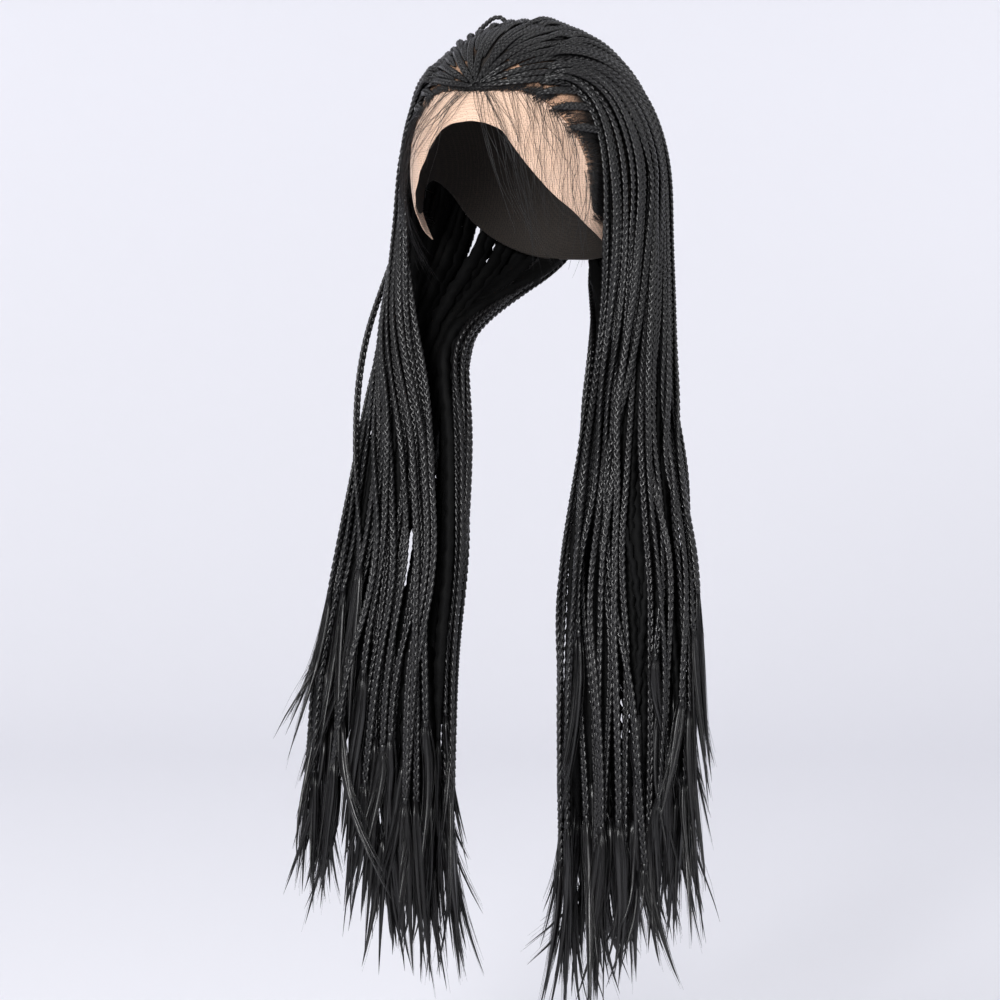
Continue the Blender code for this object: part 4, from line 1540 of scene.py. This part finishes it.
@dataclass
class HairlineHair:
    """Fine hair at the hairline: roots drawn back into the rows, and long wisps that fall."""

    head: HeadForm
    edges: EdgeLines
    fibre: bpy.types.Material
    root_half: float = 0.19 * MM
    brow_roots: int = 340
    temple_roots: int = 520
    middle_roots: int = 220
    row_roots: int = 80
    wisp_rows: int = 20
    wave_deg: float = 0.8
    least_lift_mm: float = 1.9
    # How far the four places of a hair's way stray: bearing, height and lift in mm.
    jitter: tuple = ((2.4, 1.0, 0.0), (2.0, 2.2, 1.0), (2.6, 3.0, 1.4), (3.6, 6.0, 2.4))
    # Where the temple rows start: bearing and height.
    row_starts: tuple = ((36.0, 30.7), (44.5, 24.6), (52.5, 16.6))
    wisps: tuple[Wisps, ...] = (
        Wisps(9, ((8.0, 33.0, 0.8), (17.0, 16.0, 5.0), (27.0, -4.0, 6.0), (36.0, -31.0, 10.0))),
        Wisps(8, ((12.0, 33.0, 0.8), (22.0, 14.0, 6.0), (28.0, -8.0, 8.0), (40.0, -37.0, 14.0))),
        Wisps(5, ((3.0, 33.0, 0.8), (9.0, 18.0, 5.0), (17.0, 2.0, 6.0), (21.0, -18.0, 8.0))),
        Wisps(8, ((22.0, 33.0, 0.8), (26.0, 18.0, 4.0), (29.0, 3.0, 5.0), (33.0, -14.0, 6.0))),
        Wisps(9, ((30.0, 32.0, 0.8), (33.0, 18.0, 4.0), (35.0, 0.0, 5.0), (38.0, -19.0, 6.0))),
        Wisps(8, ((37.0, 29.0, 0.8), (39.0, 14.0, 3.0), (41.0, -2.0, 4.0), (45.0, -20.0, 6.0))),
        Wisps(8, ((44.0, 25.0, 0.8), (46.0, 11.0, 3.0), (47.0, -4.0, 4.0), (51.0, -22.0, 6.0))),
        Wisps(7, ((52.0, 18.0, 0.8), (52.0, 4.0, 3.0), (54.0, -9.0, 4.0), (58.0, -27.0, 7.0))),
        Wisps(6, ((61.0, 0.0, 0.8), (60.0, -12.0, 3.0), (58.0, -24.0, 5.0), (62.0, -38.0, 9.0))),
        Wisps(5, ((-3.0, 33.0, 0.8), (-9.0, 22.0, 4.0), (-18.0, 13.0, 5.0), (-27.0, 2.0, 6.0))),
        Wisps(8, ((-8.0, 33.0, 0.8), (-16.0, 22.0, 4.0), (-28.0, 11.0, 6.0), (-40.0, -4.0, 7.0))),
        Wisps(8, ((-20.0, 32.5, 0.8), (-30.0, 20.0, 4.0), (-42.0, 6.0, 5.0), (-54.0, -12.0, 6.0))),
        Wisps(8, ((-34.0, 31.0, 0.8), (-42.0, 16.0, 4.0), (-50.0, 0.0, 5.0), (-60.0, -22.0, 7.0))),
        Wisps(6, ((-48.0, 22.0, 0.8), (-52.0, 8.0, 4.0), (-58.0, -10.0, 6.0), (-66.0, -32.0, 9.0))),
        # Smooth hair at the far temple, drawn down and back under the fall.
        Wisps(
            90,
            ((-45.0, 24.0, 1.5), (-60.0, 13.0, 3.5), (-68.0, -6.0, 7.0), (-74.0, -24.0, 12.0)),
            0.28 * MM,
        ),
        Wisps(
            60,
            ((-60.0, 6.0, 1.5), (-66.0, -4.0, 3.5), (-71.0, -16.0, 8.0), (-76.0, -32.0, 14.0)),
            0.28 * MM,
        ),
    )

    def build(self) -> None:
        """Set the roots and hang the wisps."""
        rng = np.random.default_rng(77)
        mesh = StrandMesh()
        for side in Side:
            self._brow(mesh, side, rng)
            self._temple(mesh, side, rng)
            self._row_tips(mesh, side, rng)
        self._middle(mesh, rng)
        for group in self.wisps:
            self._hang(mesh, group, rng)
        mesh.to_object("hairline_hair", self.fibre, "hair")

    def _lay(
        self, mesh: StrandMesh, start: np.ndarray, end: np.ndarray, rise: float, rng: np.random.Generator
    ) -> None:
        """Lay short hairs over the cap.

        Args:
            mesh: what they are added to.
            start: (hairs, 2), bearing and height of the roots.
            end: (hairs, 2), bearing and height of the other ends.
            rise: how high they arch.
            rng: the source of chance.
        """
        t = np.linspace(0, 1, 4)
        ends = (bearing_direction(*place.T)[:, None] for place in (start, end))
        towards = arc_between(*ends, t[None])
        lift = 0.15 * MM + rise * (np.sin(math.pi * t) + rng.uniform(0, 0.8, (len(start), 1)) * t)
        radius = np.broadcast_to(self.root_half * (1 - 0.6 * t), towards.shape[:2])
        line = self.head.over(towards, self.head.cap_wall + lift)
        mesh.add(line, towards, radius, radius, 3, np.ones(len(start)))

    def _brow(self, mesh: StrandMesh, side: Side, rng: np.random.Generator) -> None:
        """Roots along the brow, drawn back into the lowest rows."""
        n = self.brow_roots
        bearing, height = self.edges.hairline(rng.uniform(0, 0.36, n))
        start = (bearing - rng.uniform(0, 2, n), height - rng.normal(-0.3, 0.7, n))
        start = np.stack(start, axis=-1)
        end = start + np.stack([rng.uniform(2, 9, n), rng.uniform(1.5, 4.6, n)], axis=-1)
        sign = np.array([side.value, 1.0])
        self._lay(mesh, start * sign, end * sign, 0.7 * MM, rng)

    def _temple(self, mesh: StrandMesh, side: Side, rng: np.random.Generator) -> None:
        """Roots down the temple and the sideburn, drawn back under the fall."""
        n = self.temple_roots
        share = rng.beta(2.2, 1.3, n) * 0.62 + 0.34
        bearing, height = self.edges.hairline(share)
        start = (bearing + rng.gamma(1.2, 2.0, n) - 1.0, height + rng.normal(0, 1.5, n))
        start = np.stack(start, axis=-1)
        drawn = (rng.uniform(6, 14, n), rng.uniform(-2.0, 5.0, n) - 5 * (share > 0.7))
        end = start + np.stack(drawn, axis=-1)
        sign = np.array([side.value, 1.0])
        self._lay(mesh, start * sign, end * sign, 1.0 * MM, rng)

    def _row_tips(self, mesh: StrandMesh, side: Side, rng: np.random.Generator) -> None:
        """Roots that gather into the start of each temple row."""
        n = self.row_roots
        sign = np.array([side.value, 1.0])
        for place in self.row_starts:
            apart = np.stack([rng.uniform(-3, 8, n), rng.normal(-1.5, 1.7, n)], axis=-1)
            start = np.array(place) + apart
            gone = np.maximum(start[:, 0] - place[0], 0) + rng.uniform(2.5, 7, n)
            end = np.array(place) + np.stack([gone, rng.normal(0.1, 0.5, n)], axis=-1)
            self._lay(mesh, start * sign, end * sign, 1.3 * MM, rng)

    def _middle(self, mesh: StrandMesh, rng: np.random.Generator) -> None:
        """Roots over the middle of the brow, where all rows start."""
        n = self.middle_roots
        start = np.stack([rng.normal(0, 2.6, n), 33.0 + rng.uniform(-0.6, 1.5, n)], axis=-1)
        drawn = (start[:, 0] * rng.uniform(0.2, 2.4, n), rng.uniform(2, 7, n))
        end = start + np.stack(drawn, axis=-1)
        self._lay(mesh, start, end, 1.0 * MM, rng)

    def _hang(self, mesh: StrandMesh, group: Wisps, rng: np.random.Generator) -> None:
        """Long fine hairs that leave the hairline and fall."""
        at = np.linspace(0, len(group.way) - 1, self.wisp_rows)
        for _ in range(group.count):
            own = np.array(group.way) + rng.normal(0, 1, (4, 3)) * np.array(self.jitter)
            angles = curve_sample(own, at)
            turn = at * rng.uniform(1.5, 3.5) + rng.uniform(0, 6)
            wave = self.wave_deg * np.sin(turn) * np.clip(at, 0, 1)
            towards = bearing_direction(angles[:, 0] + wave, angles[:, 1])
            lift = np.maximum(self.head.cap_wall / MM + angles[:, 2], self.least_lift_mm)
            line = self.head.over(towards, lift * MM)
            radius = group.half * rng.uniform(0.6, 1.15) * (1 - 0.7 * (at / 3) ** 2)
            mesh.add(line[None], towards[None], radius[None], radius[None], 3, np.array([1.0]))


@dataclass
class CrownLoop:
    """The thin braid that stands up in a small loop over the crown."""

    fibre: bpy.types.Material
    pattern: BraidPattern = field(default_factory=BraidPattern)
    # Points in metres, from the rows of the wearer's right towards the crown.
    way: tuple = (
        (-0.050, 0.012, -0.010),
        (-0.043, 0.006, -0.001),
        (-0.034, 0.001, 0.0050),
        (-0.026, -0.002, 0.0090),
        (-0.019, -0.003, 0.0085),
        (-0.015, -0.003, 0.0035),
        (-0.010, -0.002, -0.0020),
    )
    size: float = 0.85
    points: int = 40
    turn: float = 1.2
    sides: int = 6

    def build(self) -> None:
        """Plait it."""
        points = np.array(self.way)
        line = curve_sample(points, np.linspace(0, len(points) - 1, self.points))
        facing = np.broadcast_to(np.array([0.3, -0.9, 0.3]), line.shape)
        mesh = StrandMesh()
        same = np.full(self.points, self.size)
        twist = np.linspace(0, self.turn, self.points)
        self.pattern.add(mesh, line, facing, same, same, twist, self.sides, 1.0, 0.0)
        mesh.to_object("crown_loop", self.fibre, "hair")


@dataclass
class Studio:
    """A pale floor and backdrop, soft lights, and the camera at the photograph's angle."""

    azimuth_deg: float = 26.0
    elevation_deg: float = 5.0
    distance: float = 2.6
    lens_mm: float = 130.0
    crown_right_m: float = 0.02016
    crown_above_m: float = 0.3384
    floor_z: float = -0.86
    # The sheet of paper: from where in front to where behind, how high, half its width, its bend.
    paper_front: float = -3.4
    paper_back: float = 3.0
    paper_high: float = 3.2
    paper_half: float = 4.5
    paper_radius: float = 0.9
    sky: float = 0.36
    sky_colour: str = "#f3f4fb"
    # Rows: name, place and aim (metres towards the camera, to its right and up from the wig's
    # middle), size and watts.
    lamps: tuple = (
        ("key", (2.1, -0.7, 0.6), (0.0, 0.0, -0.1), 0.7, 56.0),
        ("top", (0.1, 0.3, 1.9), (0.0, 0.0, 0.2), 0.6, 7.0),
        ("fill", (1.2, 1.9, 0.3), (0.0, 0.0, 0.0), 0.9, 12.0),
        ("backdrop_left", (-0.8, -2.2, 1.3), (-3.0, -0.6, -0.1), 1.6, 24.0),
        ("backdrop_right", (-0.8, 2.2, 1.3), (-3.0, 0.6, -0.1), 1.6, 24.0),
    )

    def build(self) -> None:
        """Set the studio up."""
        self._backdrop()
        self._lights()
        self._camera()

    def _axes(self) -> tuple[np.ndarray, np.ndarray, np.ndarray]:
        """Unit vectors towards the camera, to its right and up."""
        a, e = math.radians(self.azimuth_deg), math.radians(self.elevation_deg)
        back = np.array([math.sin(a) * math.cos(e), -math.cos(a) * math.cos(e), math.sin(e)])
        right = np.array([math.cos(a), math.sin(a), 0.0])
        return back, right, np.cross(back, right)

    def _camera(self) -> None:
        """Place the camera."""
        back, right, up = self._axes()
        middle = -right * self.crown_right_m - up * self.crown_above_m
        data = bpy.data.cameras.new("camera")
        data.lens = self.lens_mm
        data.sensor_width = 36.0
        camera = link_object("camera", data)
        camera.location = middle + back * self.distance
        tilt, turn = math.radians(90 - self.elevation_deg), math.radians(self.azimuth_deg)
        camera.rotation_euler = (tilt, 0.0, turn)
        bpy.context.scene.camera = camera

    def _backdrop(self) -> None:
        """A sheet of paper that curves from the floor up behind the object."""
        radius = self.paper_radius
        level = self.paper_back - radius
        profile = [(self.paper_front, 0.0), (level, 0.0)]
        for a in np.linspace(0.15, math.pi / 2, 10):
            profile.append((level + radius * math.sin(a), radius - radius * math.cos(a)))
        profile.append((self.paper_back, self.paper_high))
        cos, sin = math.cos(math.radians(self.azimuth_deg)), math.sin(math.radians(self.azimuth_deg))
        points = [
            (x * cos - y * sin, x * sin + y * cos, z + self.floor_z)
            for x in (-self.paper_half, self.paper_half)
            for y, z in profile
        ]
        n = len(profile)
        mesh = bpy.data.meshes.new("studio_paper")
        mesh.from_pydata(points, [], [(i, i + n, i + n + 1, i + 1) for i in range(n - 1)])
        mesh.polygons.foreach_set("use_smooth", [True] * (n - 1))
        paper = link_object("studio_paper", mesh)
        mesh.materials.append(StudioPaper().material())

    def _lights(self) -> None:
        """A soft sky, a key from beside the camera, a top light, a fill and two on the paper."""
        world = bpy.data.worlds.new("studio_light")
        world.use_nodes = True
        sky = world.node_tree.nodes["Background"]
        sky.inputs["Color"].default_value = linear(self.sky_colour)
        sky.inputs["Strength"].default_value = self.sky
        bpy.context.scene.world = world
        bpy.context.scene.view_settings.view_transform = "Standard"
        back, right, up = self._axes()
        middle = np.array([0.0, 0.0, -0.3])
        for name, place, aim, size, power in self.lamps:
            place, aim = (
                middle + back * p[0] + right * p[1] + up * p[2] for p in (place, aim)
            )
            data = bpy.data.lights.new(name, "AREA")
            data.size, data.energy = size, power
            lamp = link_object(name, data)
            lamp.location = place
            towards = unit(aim - place)
            tilt = math.acos(np.clip(-towards[2], -1, 1))
            turn = math.atan2(towards[1], towards[0]) - math.pi / 2
            lamp.rotation_euler = (tilt, 0.0, turn)


def main() -> None:
    """Build the wig round its frame."""
    logging.basicConfig(level=logging.INFO, format="%(message)s")
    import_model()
    head, edges, flow, form = HeadForm(), EdgeLines(), HairFlow(), FallForm()
    fibre = BraidingFibre().material()
    # Hair inside a fall gets a darker copy of the fibre with no gloss: painted shade, as little light
    # reaches it.
    inside_fibre = BraidingFibre(
        name="modacrylic braiding fibre inside",
        dark="#030303",
        light="#0d0d0e",
        roughness=0.7,
        specular=0.10,
    ).material()
    Studio().build()
    CapAndLace(head, edges, CapNet().material(), SheerLace().material()).build()
    for side in Side:
        braids = Braids(BraidPaths(side, head, flow, form), fibre, inside_fibre)
        braids.build()
        TempleRows(side, head, fibre).build()
        LooseEnds(side, fibre).build(braids.ends)
    HairlineHair(head, edges, fibre).build()
    CrownLoop(fibre).build()


if __name__ == "__main__":
    main()
